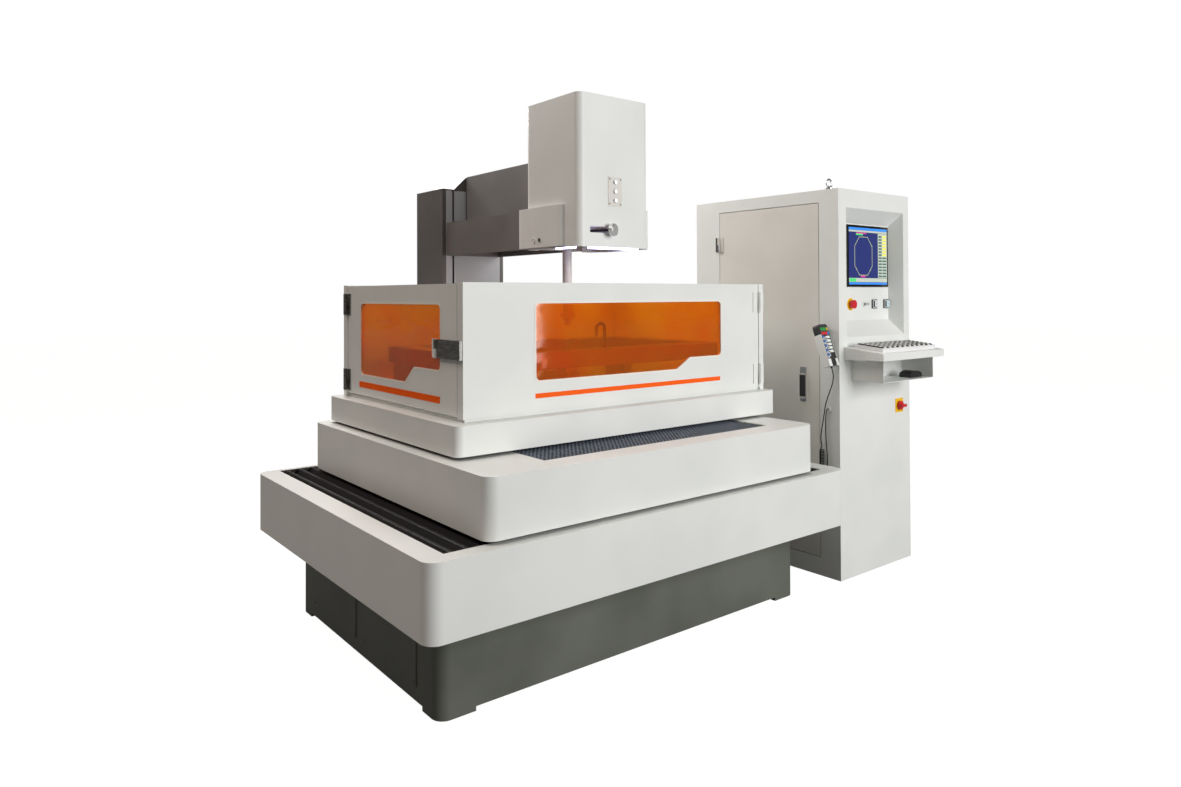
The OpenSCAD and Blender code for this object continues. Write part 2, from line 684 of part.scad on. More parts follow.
module table_way_covers() color(bellows_black) place() {
    span([y_cover_x0, pedestal_y0 - y_section, y_wing_z1 - cover_t], [y_cover_x1, pedestal_y0, y_wing_z1]);
    span([y_cover_x0, pedestal_y1, y_wing_z1 - cover_t], [y_cover_x1, pedestal_y1 + y_section, y_wing_z1]);
}

module tray() color(white_paint) place() {
    difference() {
        rounded_span([tray_x0, tray_y0, tray_z0], [tray_x1, tray_y1, tray_z1], tray_corner_r);
        rounded_span([tray_x0 + sheet, tray_y0 + sheet, tray_z0 - cut],
            [tray_x1 - sheet, tray_y1 - sheet, tray_floor_z], tray_corner_r - sheet);
        rounded_span([tray_x0 + sheet, tray_y0 + sheet, tray_floor_z + sheet],
            [tray_x1 - sheet, tray_y1 - sheet, tray_z1 - sheet], tray_corner_r - sheet);
        span([tray_x0 + tray_lip_left, tray_y0 + tray_lip_front, tray_z1 - sheet - cut],
             [tray_x1 - tray_lip_right, tray_y1 - tray_lip_back, tray_z1 + cut]);
    }
}

worktable_window_share = [0.2, 0.8];
module worktable() color(light_grey) place() {
    leg_z0 = tray_floor_z + sheet;
    ring_z0 = worktable_top - worktable_beam_h;
    half = worktable_beam / 2;
    difference() {
        union() {
            span([worktable_x0, worktable_y0, ring_z0], [worktable_x1, worktable_y1, worktable_top]);
            for (x = [worktable_x0, worktable_x1 - worktable_beam]) {
                span([x + half / 2, worktable_y0, leg_z0], [x + worktable_beam - half / 2, worktable_y1, ring_z0 + cut]);
                span([x, worktable_y0 - worktable_foot_out, leg_z0],
                     [x + worktable_beam, worktable_y1 + worktable_foot_out, leg_z0 + worktable_foot_h]);
            }
        }
        span([worktable_x0 + worktable_beam, worktable_y0 + worktable_beam, ring_z0 - cut],
             [worktable_x1 - worktable_beam, worktable_y1 - worktable_beam, worktable_top + cut]);
        for (x = [worktable_x0, worktable_x1 - worktable_beam])
            span([x - cut, worktable_y0 + worktable_window_share[0] * worktable_d, leg_z0 + 2 * worktable_foot_h],
                 [x + worktable_beam + cut, worktable_y0 + worktable_window_share[1] * worktable_d, ring_z0 - worktable_foot_h]);
        for (x = [worktable_x0 + half, worktable_x1 - half], y = [worktable_y0 + half, worktable_y1 - half])
            rod_z([x, y, worktable_top - clamp_hole_depth], clamp_hole_d, clamp_hole_depth + cut);
        rod_z([worktable_x0 + nozzle_right, worktable_y0 + half, worktable_top - nozzle_base_h],
            nozzle_base_d + cut, nozzle_base_h + cut);
    }
}

nozzle_right = 625;      // coolant nozzle from the work table's left end
nozzle_base_d = 34;
nozzle_base_h = 12;
nozzle_tube_d = 14;
nozzle_rise = 82;
nozzle_bend_r = 22;
nozzle_drop = 20;
nozzle_tip_l = 16;
nozzle_tip_d = 6;
module coolant_nozzle() color(plastic_black) place() {
    x = worktable_x0 + nozzle_right;
    y = worktable_y0 + worktable_beam / 2;
    z = worktable_top;
    rod_z([x, y, z - nozzle_base_h], nozzle_base_d, nozzle_base_h);
    rod_z([x, y, z - cut], nozzle_tube_d, nozzle_rise + cut);
    translate([x - nozzle_bend_r, y, z + nozzle_rise]) rotate([90, 0, 0]) rotate_extrude(angle = 180)
        translate([nozzle_bend_r, 0]) circle(d = nozzle_tube_d);
    rod_z([x - 2 * nozzle_bend_r, y, z + nozzle_rise - nozzle_drop], nozzle_tube_d, nozzle_drop);
    translate([x - 2 * nozzle_bend_r, y, z + nozzle_rise - nozzle_drop - nozzle_tip_l])
        cylinder(d1 = nozzle_tip_d, d2 = nozzle_tube_d, h = nozzle_tip_l);
}

// Hinges of the guard, the latch, the cabinet door: one knuckle stays with its pin, one turns on it
hinge_leaf = 4;
hinge_d = 18;
hinge_reach = 40;
guard_hinge_h = 93;
guard_hinge_z = [20, 353]; // hinges above the guard's bottom
guard_hinge_gap = 5;
post_w = 45;
front_post_w = 30;
return_flange = 15;
leaf_clear = 1.5;
function hinge_out(d) = (d + hinge_leaf) / 2;
module hinge_fixed(d, h, reach) {
    cylinder(d = d, h = h / 2);
    cylinder(d = d / 2, h = h);
    span([d / 2 + leaf_clear, hinge_out(d) - hinge_leaf, 0], [reach, hinge_out(d), h]);
    span([0, hinge_out(d) - hinge_leaf, 0], [d / 2 + leaf_clear + cut, hinge_out(d), h / 2]);
}
module hinge_moving(d, h, reach) {
    difference() {
        union() {
            translate([0, 0, h / 2 + slide_gap]) cylinder(d = d, h = h / 2 - slide_gap);
            span([-d / 2 - leaf_clear - cut, hinge_out(d) - hinge_leaf, h / 2 + slide_gap], [0, hinge_out(d), h]);
        }
        translate([0, 0, -cut]) cylinder(d = d / 2 + 2 * shaft_gap, h = h + 2 * cut);
    }
    span([-reach, hinge_out(d) - hinge_leaf, 0], [-d / 2 - leaf_clear, hinge_out(d), h]);
}
left_pivot = [guard_x0 - hinge_out(hinge_d), guard_y1 - post_w - guard_hinge_gap / 2];
front_pivot = [guard_x1 - front_post_w - guard_hinge_gap / 2, guard_y0 - hinge_out(hinge_d)];
module at_left_pivot(z) {
    translate([left_pivot.x, left_pivot.y, z]) mirror([1, -1, 0]) children();
}
module at_front_pivot(z) {
    translate([front_pivot.x, front_pivot.y, z]) children();
}

// Splash guard
plinth_inset = 12;
plinth_w = 16;
guard_slot_h = 157;
slot_side_gap = 10;
door_foot = 2;           // gap under the front door
left_door_foot = 8;      // gap under the left door
left_door_head = 4;      // left door's top under the guard's top
guard_slot_x0 = wire_x - lower_arm_w / 2 - x_right - slot_side_gap;
guard_slot_x1 = wire_x + lower_arm_w / 2 + x_left + slot_side_gap;
module guard_frame() color(white_paint) place() {
    difference() {
        span([guard_x0, guard_y1 - guard_wall, tray_z1], [guard_x1, guard_y1, guard_z1]);
        span([guard_slot_x0, guard_y1 - guard_wall - cut, guard_z0],
             [guard_slot_x1, guard_y1 + cut, guard_z0 + guard_slot_h]);
    }
    span([guard_x0, guard_y1 - post_w, guard_z0], [guard_x0 + guard_wall, guard_y1, guard_z1]);
    span([guard_x1 - guard_wall, guard_y0, tray_z1], [guard_x1, guard_y1, guard_z1]);
    span([guard_x1 - front_post_w, guard_y0, guard_z0], [guard_x1, guard_y0 + guard_wall, guard_z1]);
    span([guard_x0 + plinth_inset, guard_y0 + plinth_inset, tray_z1],
         [guard_x1 - cut, guard_y0 + plinth_inset + plinth_w, guard_z0]);
    span([guard_x0 + plinth_inset, guard_y0 + plinth_inset, tray_z1],
         [guard_x0 + plinth_inset + plinth_w, guard_y1 - cut, guard_z0]);
    for (z = guard_hinge_z) {
        at_left_pivot(guard_z0 + z) hinge_fixed(hinge_d, guard_hinge_h, hinge_reach);
        at_front_pivot(guard_z0 + z) hinge_fixed(hinge_d, guard_hinge_h, front_post_w);
    }
}

// Windows with one lower corner stepped up, and the ledge that each pane seats on
ledge = 4;
front_door_x1 = guard_x1 - front_post_w - guard_hinge_gap;
left_door_y0 = guard_y0 + guard_wall + return_flange + door_gap;
left_door_y1 = guard_y1 - post_w - guard_hinge_gap;
window_low = 118;        // front window's bottom above the guard's bottom
window_top = 405;        // and its top
window_step = 47;        // height of the step
front_window_x = [310, 1041, 1120, 1316]; // window's left end, step's foot, step's head, right end
left_window_low = 99;
left_window_top = 403;
left_window_step = 64;
left_window_y = [123, 333, 411, 837];
front_window_shape = [
    [guard_x0 + front_window_x[0], guard_z0 + window_low],
    [guard_x0 + front_window_x[1], guard_z0 + window_low],
    [guard_x0 + front_window_x[2], guard_z0 + window_low + window_step],
    [guard_x0 + front_window_x[3], guard_z0 + window_low + window_step],
    [guard_x0 + front_window_x[3], guard_z0 + window_top],
    [guard_x0 + front_window_x[0], guard_z0 + window_top],
];
left_window_shape = [
    [left_door_y0 + left_window_y[0], guard_z0 + left_window_low + left_window_step],
    [left_door_y0 + left_window_y[1], guard_z0 + left_window_low + left_window_step],
    [left_door_y0 + left_window_y[2], guard_z0 + left_window_low],
    [left_door_y0 + left_window_y[3], guard_z0 + left_window_low],
    [left_door_y0 + left_window_y[3], guard_z0 + left_window_top],
    [left_door_y0 + left_window_y[0], guard_z0 + left_window_top],
];
function turn(a, b, c) = sign((b.x - a.x) * (c.y - b.y) - (b.y - a.y) * (c.x - b.x));
function grown(p, d) = [for (i = [0 : len(p) - 1]) let (
    a = p[(i + len(p) - 1) % len(p)], b = p[i], c = p[(i + 1) % len(p)],
    u = unit(a - b), v = unit(c - b)
) b - turn(a, b, c) * unit(u + v) * d / sin(acos(u * v) / 2)];

module left_door() color(white_paint) place() {
    difference() {
        span([guard_x0, left_door_y0, guard_z0 + left_door_foot],
             [guard_x0 + guard_wall, left_door_y1, guard_z1 - left_door_head]);
        along_x(guard_x0 - cut, guard_x0 + guard_wall + cut) polygon(rounded(left_window_shape, window_r));
        along_x(guard_x0 + ledge, guard_x0 + guard_wall + cut)
            polygon(rounded(grown(left_window_shape, ledge), window_r + ledge));
    }
    for (z = guard_hinge_z) at_left_pivot(guard_z0 + z) hinge_moving(hinge_d, guard_hinge_h, hinge_reach);
    at_latch() hinge_fixed(hinge_d, latch_h, latch_base);
}
module left_window() color(amber) place()
    along_x(guard_x0 + ledge, guard_x0 + ledge + pane_t)
        polygon(rounded(grown(left_window_shape, ledge - slide_gap), window_r + ledge));

module front_door() color(white_paint) place() {
    difference() {
        span([guard_x0, guard_y0, guard_z0 + door_foot], [front_door_x1, guard_y0 + guard_wall, guard_z1]);
        along_y(guard_y0 - cut, guard_y0 + guard_wall + cut) polygon(rounded(front_window_shape, window_r));
        along_y(guard_y0 + ledge, guard_y0 + guard_wall + cut)
            polygon(rounded(grown(front_window_shape, ledge), window_r + ledge));
    }
    span([guard_x0, guard_y0 + guard_wall - cut, guard_z0 + door_foot],
         [guard_x0 + guard_wall, guard_y0 + guard_wall + return_flange, guard_z1]);
    for (z = guard_hinge_z) at_front_pivot(guard_z0 + z) hinge_moving(hinge_d, guard_hinge_h, hinge_reach);
}
module front_window() color(amber) place()
    along_y(guard_y0 + ledge, guard_y0 + ledge + pane_t)
        polygon(rounded(grown(front_window_shape, ledge - slide_gap), window_r + ledge));

latch_base = 43;
latch_h = 68;
latch_z = 209;           // strap's bottom above the guard's bottom
latch_pivot_y = 136;     // pivot behind the left door's front edge
latch_t = 12;
latch_reach = 178;
latch_face_gap = 1.5;
module at_latch() {
    translate([left_pivot.x, left_door_y0 + latch_pivot_y, guard_z0 + latch_z]) mirror([1, -1, 0]) children();
}
module door_latch() color(dark_grey) place() at_latch() {
    face = hinge_out(hinge_d) - latch_face_gap;
    root = hinge_d / 2 + leaf_clear;
    difference() {
        union() {
            translate([0, 0, latch_h / 2 + slide_gap]) cylinder(d = hinge_d, h = latch_h / 2 - slide_gap);
            span([-root - cut, 0, latch_h / 2 + slide_gap], [0, face, latch_h]);
        }
        translate([0, 0, -cut]) cylinder(d = hinge_d / 2 + 2 * shaft_gap, h = latch_h + 2 * cut);
    }
    span([-latch_reach, face - latch_t, 0], [-root, face, latch_h]);
}

// Column
ledge_drop = 64;         // side ledges under the column's top
crown_half = 46;         // half width of the flat top
crown_foot_half = 112;   // half width at the chamfer's foot
column_cap = 71;         // cavity's top under the column's top
cavity_x0 = column_x0 + column_wall;
cavity_x1 = column_x1 - column_wall;
cavity_z1 = column_top - column_cap;
panel_t = 3;
lower_arm_drop = 197;    // lower arm's underside under the work table's top
lower_arm_z0 = worktable_top - lower_arm_drop;
web_drop = 50;
web_z0 = lower_arm_z0 - web_drop;
web_h = 220;
web_setback = 30;
z_plate_setback = 94;    // mounting plate of the Z rails behind the column's front
z_plate_t = 20;
z_plate_h = 400;
z_rail_w = 35;
z_rail_t = 22;
z_rail_inner = 75;       // inner edge of each Z rail from the column's middle
z_rail_short = 10;
z_plate_y0 = column_y0 + z_plate_setback;
module column_casting() color(dark_grey) place() {
    difference() {
        along_y(column_y0, column_y1) polygon([
            [column_x0, column_z0], [column_x1, column_z0], [column_x1, column_top - ledge_drop],
            [column_mid + crown_foot_half, column_top - ledge_drop], [column_mid + crown_half, column_top],
            [column_mid - crown_half, column_top], [column_mid - crown_foot_half, column_top - ledge_drop],
            [column_x0, column_top - ledge_drop]]);
        span([cavity_x0, column_y0 - cut, column_z0 + column_wall],
             [cavity_x1, column_y1 - column_wall, cavity_z1]);
    }
    span([cavity_x0 - cut, column_y0 + web_setback, web_z0], [cavity_x1 + cut, column_y1 - cut, web_z0 + web_h]);
    span([cavity_x0 - cut, z_plate_y0, cavity_z1 - z_plate_h],
         [cavity_x1 + cut, z_plate_y0 + z_plate_t, cavity_z1 + cut]);
    for (x = [column_mid - z_rail_inner - z_rail_w, column_mid + z_rail_inner])
        span([x, z_plate_y0 - z_rail_t, cavity_z1 - z_plate_h + z_rail_short],
             [x + z_rail_w, z_plate_y0, cavity_z1 - z_rail_short]);
}

strip_w = 36;
strip_gap = 10;
panel_split = 112;       // joint between the two panels from the cavity's left
slot_half = 44;
arm_tongue_drop = 11;    // tongue's top under the arm's top
arm_tongue_h = 68;
hole_gap = 2;
z_slot_spare = 5;
module column_covers() color(light_grey) place() {
    z0 = column_z0 + column_wall;
    span([cavity_x0, column_y0, z0], [cavity_x0 + strip_w, column_y0 + panel_t, cavity_z1]);
    difference() {
        union() {
            span([cavity_x0 + strip_w + strip_gap, column_y0, z0],
                 [cavity_x0 + panel_split, column_y0 + panel_t, cavity_z1]);
            span([cavity_x0 + panel_split, column_y0, z0], [cavity_x1, column_y0 + panel_t, cavity_z1]);
        }
        span([column_mid - slot_half, column_y0 - cut, arm_z1 - arm_tongue_drop - arm_tongue_h - z_down - z_slot_spare],
             [column_mid + slot_half, column_y0 + panel_t + cut, cavity_z1 + cut]);
        span([wire_x - lower_arm_w / 2 - hole_gap, column_y0 - cut, lower_arm_z0 - hole_gap],
             [wire_x + lower_arm_w / 2 + hole_gap, column_y0 + panel_t + cut, lower_arm_z0 + lower_arm_h + hole_gap]);
    }
}

// Lower arm, wire guides and the wire between them
arm_nose_back = 96;      // thick part of the lower arm starts behind the wire
nose_front = 44;         // nose reaches in front of the wire
nose_half = 32;
nose_h = 90;
guide_block = 56;
guide_block_h = 32;
guide_nozzle_d = 40;
guide_drop = 27;         // lower guide's top under the work table's top
guide_z1 = worktable_top - guide_drop;
wire_gap = 120;          // between the two guides at rest
module lower_arm() color(light_grey) place() {
    span([wire_x - lower_arm_w / 2, wire_y + arm_nose_back, lower_arm_z0],
         [wire_x + lower_arm_w / 2, column_y0 + web_setback, lower_arm_z0 + lower_arm_h]);
    span([wire_x - nose_half, wire_y - nose_front, lower_arm_z0],
         [wire_x + nose_half, wire_y + arm_nose_back, lower_arm_z0 + nose_h]);
    span([wire_x - guide_block / 2, wire_y - guide_block / 2, lower_arm_z0 + nose_h],
         [wire_x + guide_block / 2, wire_y + guide_block / 2, lower_arm_z0 + nose_h + guide_block_h]);
    difference() {
        rod_z([wire_x, wire_y, lower_arm_z0 + nose_h + guide_block_h], guide_nozzle_d,
            guide_z1 - lower_arm_z0 - nose_h - guide_block_h);
        rod_z([wire_x, wire_y, guide_z1 - guide_bore_depth], guide_bore, guide_bore_depth + cut);
    }
}
guide_bore = 8;
guide_bore_depth = 12;
module cutting_wire() color(steel) place()
    rod_z([wire_x, wire_y, guide_z1 - guide_bore_depth], wire_d, wire_gap + 2 * guide_bore_depth - cut);

// Wire drum unit behind the column
drum_left = 315;         // drum housing's left end from the column's middle
drum_x0 = column_mid - drum_left;
drum_w = 640;
drum_rise = 340;         // drum housing's bottom above the column's foot
drum_z0 = column_z0 + drum_rise;
drum_h = 330;
drum_x1 = drum_x0 + drum_w;
drum_y0 = column_y1;
drum_y1 = drum_y0 + drum_housing_d;
drum_z1 = drum_z0 + drum_h;
drum_travel = 70;
drum_mid_x = drum_x0 + drum_w / 2;
drum_axis_y = drum_y0 + drum_housing_d / 2 + 6 * slide_gap;
drum_axis_z = drum_z0 + 180;
drum_d = 160;
drum_l = 220;
drum_shaft_d = 25;
drum_rail_w = 20;
drum_rail_h = 36;
drum_rail_half = 60;     // drum rails from the drum's axis
drum_bracket_w = 20;
drum_bracket_h = 120;
drum_bracket_d = 146;
lid_pivot_out = 18;
lid_pivot_rise = 10;
lid_block_w = 15;
lid_block_gap = 50;
lid_block_x = [65, 510];
lid_knuckle_d = 16;
lid_t = 3;
lid_lip = 20;
module drum_housing() color(white_paint) place() {
    difference() {
        span([drum_x0, drum_y0, drum_z0], [drum_x1, drum_y1, drum_z1]);
        span([drum_x0 + sheet, drum_y0 + sheet, drum_z0 + sheet], [drum_x1 - sheet, drum_y1 - sheet, drum_z1 + cut]);
    }
    for (side = [-1, 1]) span([drum_x0 + sheet - cut, drum_axis_y + side * drum_rail_half - drum_rail_w / 2, drum_z0 + sheet - cut],
        [drum_x1 - sheet + cut, drum_axis_y + side * drum_rail_half + drum_rail_w / 2, drum_z0 + sheet + drum_rail_h]);
    for (x = [column_x0 + column_wall, column_x1 - column_wall - drum_bracket_w])
        span([x, drum_y0, drum_z0 - drum_bracket_h], [x + drum_bracket_w, drum_y0 + drum_bracket_d, drum_z0]);
    for (x = lid_block_x, i = [0, 1])
        span([drum_x0 + x + i * lid_block_gap + i * lid_block_w, drum_y0 + cut, drum_z1 - lid_block_w],
             [drum_x0 + x + i * lid_block_gap + (i + 1) * lid_block_w, drum_y0 + lid_pivot_out + lid_knuckle_d / 2,
              drum_z1 + lid_pivot_rise + lid_knuckle_d / 2]);
    for (x = lid_block_x)
        rod_x([drum_x0 + x, drum_y0 + lid_pivot_out, drum_z1 + lid_pivot_rise], lid_knuckle_d / 2,
            lid_block_gap + 2 * lid_block_w);
}

module drum_lid() color(white_paint) place() {
    y0 = drum_y0 + lid_pivot_out + lid_knuckle_d / 2 + 2 * cut;
    difference() {
        span([drum_x0 - lid_overhang, y0, drum_z1 + lid_t - lid_lip],
             [drum_x1 + lid_overhang, drum_y1 + lid_overhang, drum_z1 + lid_t + slide_gap]);
        span([drum_x0 - lid_overhang + lid_t, y0 - cut, drum_z1 - lid_lip],
             [drum_x1 + lid_overhang - lid_t, drum_y1 + lid_overhang - lid_t, drum_z1 + slide_gap]);
    }
    for (x = lid_block_x) difference() {
        union() {
            rod_x([drum_x0 + x + lid_block_w + cut, drum_y0 + lid_pivot_out, drum_z1 + lid_pivot_rise],
                lid_knuckle_d, lid_block_gap - 2 * cut);
            span([drum_x0 + x + lid_block_w + cut, drum_y0 + lid_pivot_out, drum_z1 + slide_gap],
                 [drum_x0 + x + lid_block_w + lid_block_gap - cut, y0 + cut, drum_z1 + slide_gap + 2 * lid_t]);
        }
        rod_x([drum_x0 + x, drum_y0 + lid_pivot_out, drum_z1 + lid_pivot_rise], lid_knuckle_d / 2 + 2 * shaft_gap,
            lid_block_gap + 2 * lid_block_w);
    }
}

carriage_l = 370;
carriage_t = 25;
carriage_half = 85;
carriage_gap = 6;        // carriage plate above the rails' foot plate
post_t = 20;
post_half = 30;
post_rise = 40;
drum_motor_d = 90;
drum_motor_l = 55;
drum_motor_gap = 3;
module drum_carriage() color(steel) place() {
    x0 = drum_mid_x - carriage_l / 2;
    rail_top = drum_z0 + sheet + drum_rail_h;
    z0 = rail_top - carriage_t + carriage_gap;
    difference() {
        span([x0, drum_axis_y - carriage_half, z0], [x0 + carriage_l, drum_axis_y + carriage_half, z0 + carriage_t + carriage_gap]);
        for (side = [-1, 1]) span([x0 - cut, drum_axis_y + side * drum_rail_half - drum_rail_w / 2 - slide_gap, z0 - cut],
            [x0 + carriage_l + cut, drum_axis_y + side * drum_rail_half + drum_rail_w / 2 + slide_gap, rail_top + slide_gap]);
    }
    for (x = [x0, x0 + carriage_l - post_t]) difference() {
        span([x, drum_axis_y - post_half, z0 + carriage_t], [x + post_t, drum_axis_y + post_half, drum_axis_z + post_rise]);
        rod_x([x - cut, drum_axis_y, drum_axis_z], drum_shaft_d + 2 * shaft_gap, post_t + 2 * cut);
    }
    rod_x([x0 + carriage_l + drum_motor_gap, drum_axis_y, drum_axis_z], drum_motor_d, drum_motor_l);
    span([x0 + carriage_l - cut, drum_axis_y - post_half, z0 + carriage_gap],
         [x0 + carriage_l + drum_motor_gap + drum_motor_l, drum_axis_y + post_half, drum_axis_z - drum_motor_d / 3]);
}
module wire_drum() color(steel) place() {
    rod_x([drum_mid_x - drum_l / 2, drum_axis_y, drum_axis_z], drum_d, drum_l);
    rod_x([drum_mid_x - carriage_l / 2, drum_axis_y, drum_axis_z], drum_shaft_d, carriage_l);
}

// Upper arm: the carriage on the Z rails, the arm with its nose, and its cover
z_carriage_t = 18;
z_carriage_half = 135;
z_carriage_h = 106;
z_block_w = 70;
nose_w = 200;
nose_reach = 375;
nose_t = 65;
window_half = 50;        // windows round the wire in the nose and the slide
arm_tongue_half = 38;
arm_wall = 22;
z_carriage_y1 = z_plate_y0 - z_rail_t - z_carriage_t;
z_carriage_z0 = arm_z0 + window_half;
module arm_block() color(dark_grey) place() {
    difference() {
        span([arm_x0, arm_y0, arm_z0], [arm_x1, arm_y1, arm_z1]);
        span([arm_x0 + arm_wall, arm_y0 + arm_wall, arm_z0 - cut],
             [arm_x1 - arm_wall, arm_y1 - arm_wall, arm_z1 - nose_t - arm_wall]);
    }
    difference() {
        span([column_mid - nose_w / 2, arm_y0 - nose_reach, arm_z1 - nose_t], [column_mid + nose_w / 2, arm_y0 + cut, arm_z1]);
        span([wire_x - window_half, wire_y - window_half, arm_z1 - nose_t - cut],
             [wire_x + window_half, wire_y + window_half, arm_z1 + cut]);
    }
    span([column_mid - arm_tongue_half, arm_y1 - cut, arm_z1 - arm_tongue_drop - arm_tongue_h],
         [column_mid + arm_tongue_half, z_carriage_y1, arm_z1 - arm_tongue_drop]);
    span([column_mid - z_carriage_half, z_carriage_y1 - z_carriage_t, z_carriage_z0],
         [column_mid + z_carriage_half, z_carriage_y1, z_carriage_z0 + z_carriage_h]);
    for (side = [-1, 1]) difference() {
        x = column_mid + side * (z_rail_inner + z_rail_w / 2);
        span([x - z_block_w / 2, z_carriage_y1 - cut, z_carriage_z0],
             [x + z_block_w / 2, z_plate_y0 - z_rail_t / 2, z_carriage_z0 + z_carriage_h]);
        span([x - z_rail_w / 2 - slide_gap, z_plate_y0 - z_rail_t - slide_gap, z_carriage_z0 - cut],
             [x + z_rail_w / 2 + slide_gap, z_plate_y0, z_carriage_z0 + z_carriage_h + cut]);
    }
}
arm_cover_back = 4;
module arm_cover() color(dark_grey) place() difference() {
    span([column_mid - arm_cover_w / 2, arm_y0, arm_z1], [column_mid + arm_cover_w / 2, arm_y1 - arm_cover_back, arm_z1 + arm_cover_h]);
    span([column_mid - arm_cover_w / 2 + panel_t, arm_y0 + panel_t, arm_z1 - cut],
         [column_mid + arm_cover_w / 2 - panel_t, arm_y1 - arm_cover_back - panel_t, arm_z1 + arm_cover_h - panel_t]);
}

slide_t = 20.4;
slide_half = 115;
slide_y = [209, 81];     // slide's reach in front of the wire and behind it
frame_t = 20;
slide_z0 = arm_z1 + slide_gap;
frame_z0 = slide_z0 + slide_t + slide_gap;
module taper_slide() color(steel) place() difference() {
    span([column_mid - slide_half, wire_y - slide_y[0], slide_z0],
         [column_mid + slide_half, wire_y + slide_y[1], slide_z0 + slide_t]);
    span([wire_x - window_half, wire_y - window_half, slide_z0 - cut],
         [wire_x + window_half, wire_y + window_half, slide_z0 + slide_t + cut]);
}

// Tension lever on its bracket inside the head
lever_x = 975;
lever_y = 500;
lever_drop = 102;        // lever's axis height above the head's foot is this less than the slide
lever_hub_d = 40;
lever_pin_d = 20;
lever_hub_h = 24;
lever_rod_d = 10;
lever_reach = [46, -125];
lever_knob_d = 52;
lever_knob_l = 24;
lever_swing = 40;
lever_foot_h = 5;
lever_foot_d = 30;
lever_z = slide_z0 - lever_drop - cut;
bracket_half = 20;
bracket_t = 12;
bracket_gap = 12;
guide_z0 = guide_z1 + wire_gap;
collar_d = 64;
collar_h = 25;
collar_rise = 30;
upper_nozzle_d = 26;
upper_nozzle_h = 22;
module head_frame() color(steel) place() {
    shelf_z1 = arm_z1 - nose_t - bracket_gap;
    difference() {
        rounded_span([head_x0 + head_sheet, head_y0 + head_sheet, frame_z0],
            [head_x1 - head_sheet, head_y1 - head_sheet, frame_z0 + frame_t], head_corner_r - head_sheet);
        span([column_mid - button_d, head_y0, frame_z0 - cut],
             [column_mid + button_d, head_y0 + head_sheet + button_room, frame_z0 + frame_t + cut]);
    }
    rod_z([wire_x, wire_y, guide_z0 + upper_nozzle_h], guide_tube_d, frame_z0 - guide_z0 - upper_nozzle_h + cut);
    rod_z([wire_x, wire_y, guide_z0 + collar_rise], collar_d, collar_h);
    difference() {
        rod_z([wire_x, wire_y, guide_z0], upper_nozzle_d, upper_nozzle_h);
        rod_z([wire_x, wire_y, guide_z0 - cut], guide_bore, guide_bore_depth);
    }
    span([lever_x - bracket_half, head_y0 + head_sheet + cut, shelf_z1 - bracket_t],
         [lever_x + bracket_half, head_y0 + head_sheet + cut + bracket_t, frame_z0 + cut]);
    span([lever_x - bracket_half, head_y0 + head_sheet + cut, shelf_z1 - bracket_t],
         [lever_x + bracket_half, lever_y + bracket_half, shelf_z1]);
    rod_z([lever_x, lever_y, lever_z - lever_hub_h / 2 - slide_gap], lever_pin_d,
        shelf_z1 - bracket_t - lever_z + lever_hub_h / 2 + slide_gap + cut);
    rod_z([lever_x, lever_y, lever_z - lever_hub_h / 2 - slide_gap - lever_foot_h], lever_foot_d, lever_foot_h);
}
module tension_lever() color(steel) place() translate([lever_x, lever_y, lever_z]) {
    reach = norm(lever_reach);
    difference() {
        translate([0, 0, -lever_hub_h / 2]) cylinder(d = lever_hub_d, h = lever_hub_h);
        translate([0, 0, -lever_hub_h / 2 - cut]) cylinder(d = lever_pin_d + 2 * shaft_gap, h = lever_hub_h + 2 * cut);
    }
    rotate([0, 0, atan2(lever_reach.y, lever_reach.x)]) {
        rod_x([lever_hub_d / 2 - cut, 0, 0], lever_rod_d, reach - lever_hub_d / 2);
        translate([reach - lever_knob_l / 2, 0, 0]) rotate([0, 90, 0]) rotate_extrude() polygon([
            [0, 0], [lever_knob_d / 2 - lever_foot_h, 0], [lever_knob_d / 2, lever_foot_h],
            [lever_knob_d / 2, lever_knob_l - lever_foot_h], [lever_knob_d / 2 - lever_foot_h, lever_knob_l], [0, lever_knob_l]]);
    }
}

// Head cover, its skirt and the button plate
head_back_half = 120;    // opening for the nose in the head's back
head_back_h = 223;
lever_slot = [55.5, 165.5];
lever_slot_h = 25;
plate_half = 36;
plate_z = 167;           // button plate's bottom above the head's bottom
plate_h = 121;
plate_t = 2;
button_z = [265, 228, 191]; // buttons above the head's bottom
button_d = 16;
button_out = 6;
button_push = 3;
button_flange = 4;
button_room = 12;        // notch in the head's frame behind the buttons
module button_holes() {
    for (z = button_z)
        rod_y([column_mid, head_y0 - plate_t - cut, head_z0 + z], button_d + 2 * shaft_gap, plate_t + head_sheet + 2 * cut);
}
module head_cover() color(white_paint) place() difference() {
    rounded_span([head_x0, head_y0, head_z0], [head_x1, head_y1, head_z1], head_corner_r);
    rounded_span([head_x0 + head_sheet, head_y0 + head_sheet, head_z0 - cut],
        [head_x1 - head_sheet, head_y1 - head_sheet, head_z1 - head_sheet], head_corner_r - head_sheet);
    span([column_mid - head_back_half, head_y1 - head_sheet - cut, head_z0 - cut],
         [column_mid + head_back_half, head_y1 + cut, head_z0 + head_back_h]);
    span([head_x0 + lever_slot[0], head_y0 - cut, lever_z - lever_slot_h / 2],
         [head_x0 + lever_slot[1], head_y0 + head_sheet + cut, lever_z + lever_slot_h / 2]);
    button_holes();
}
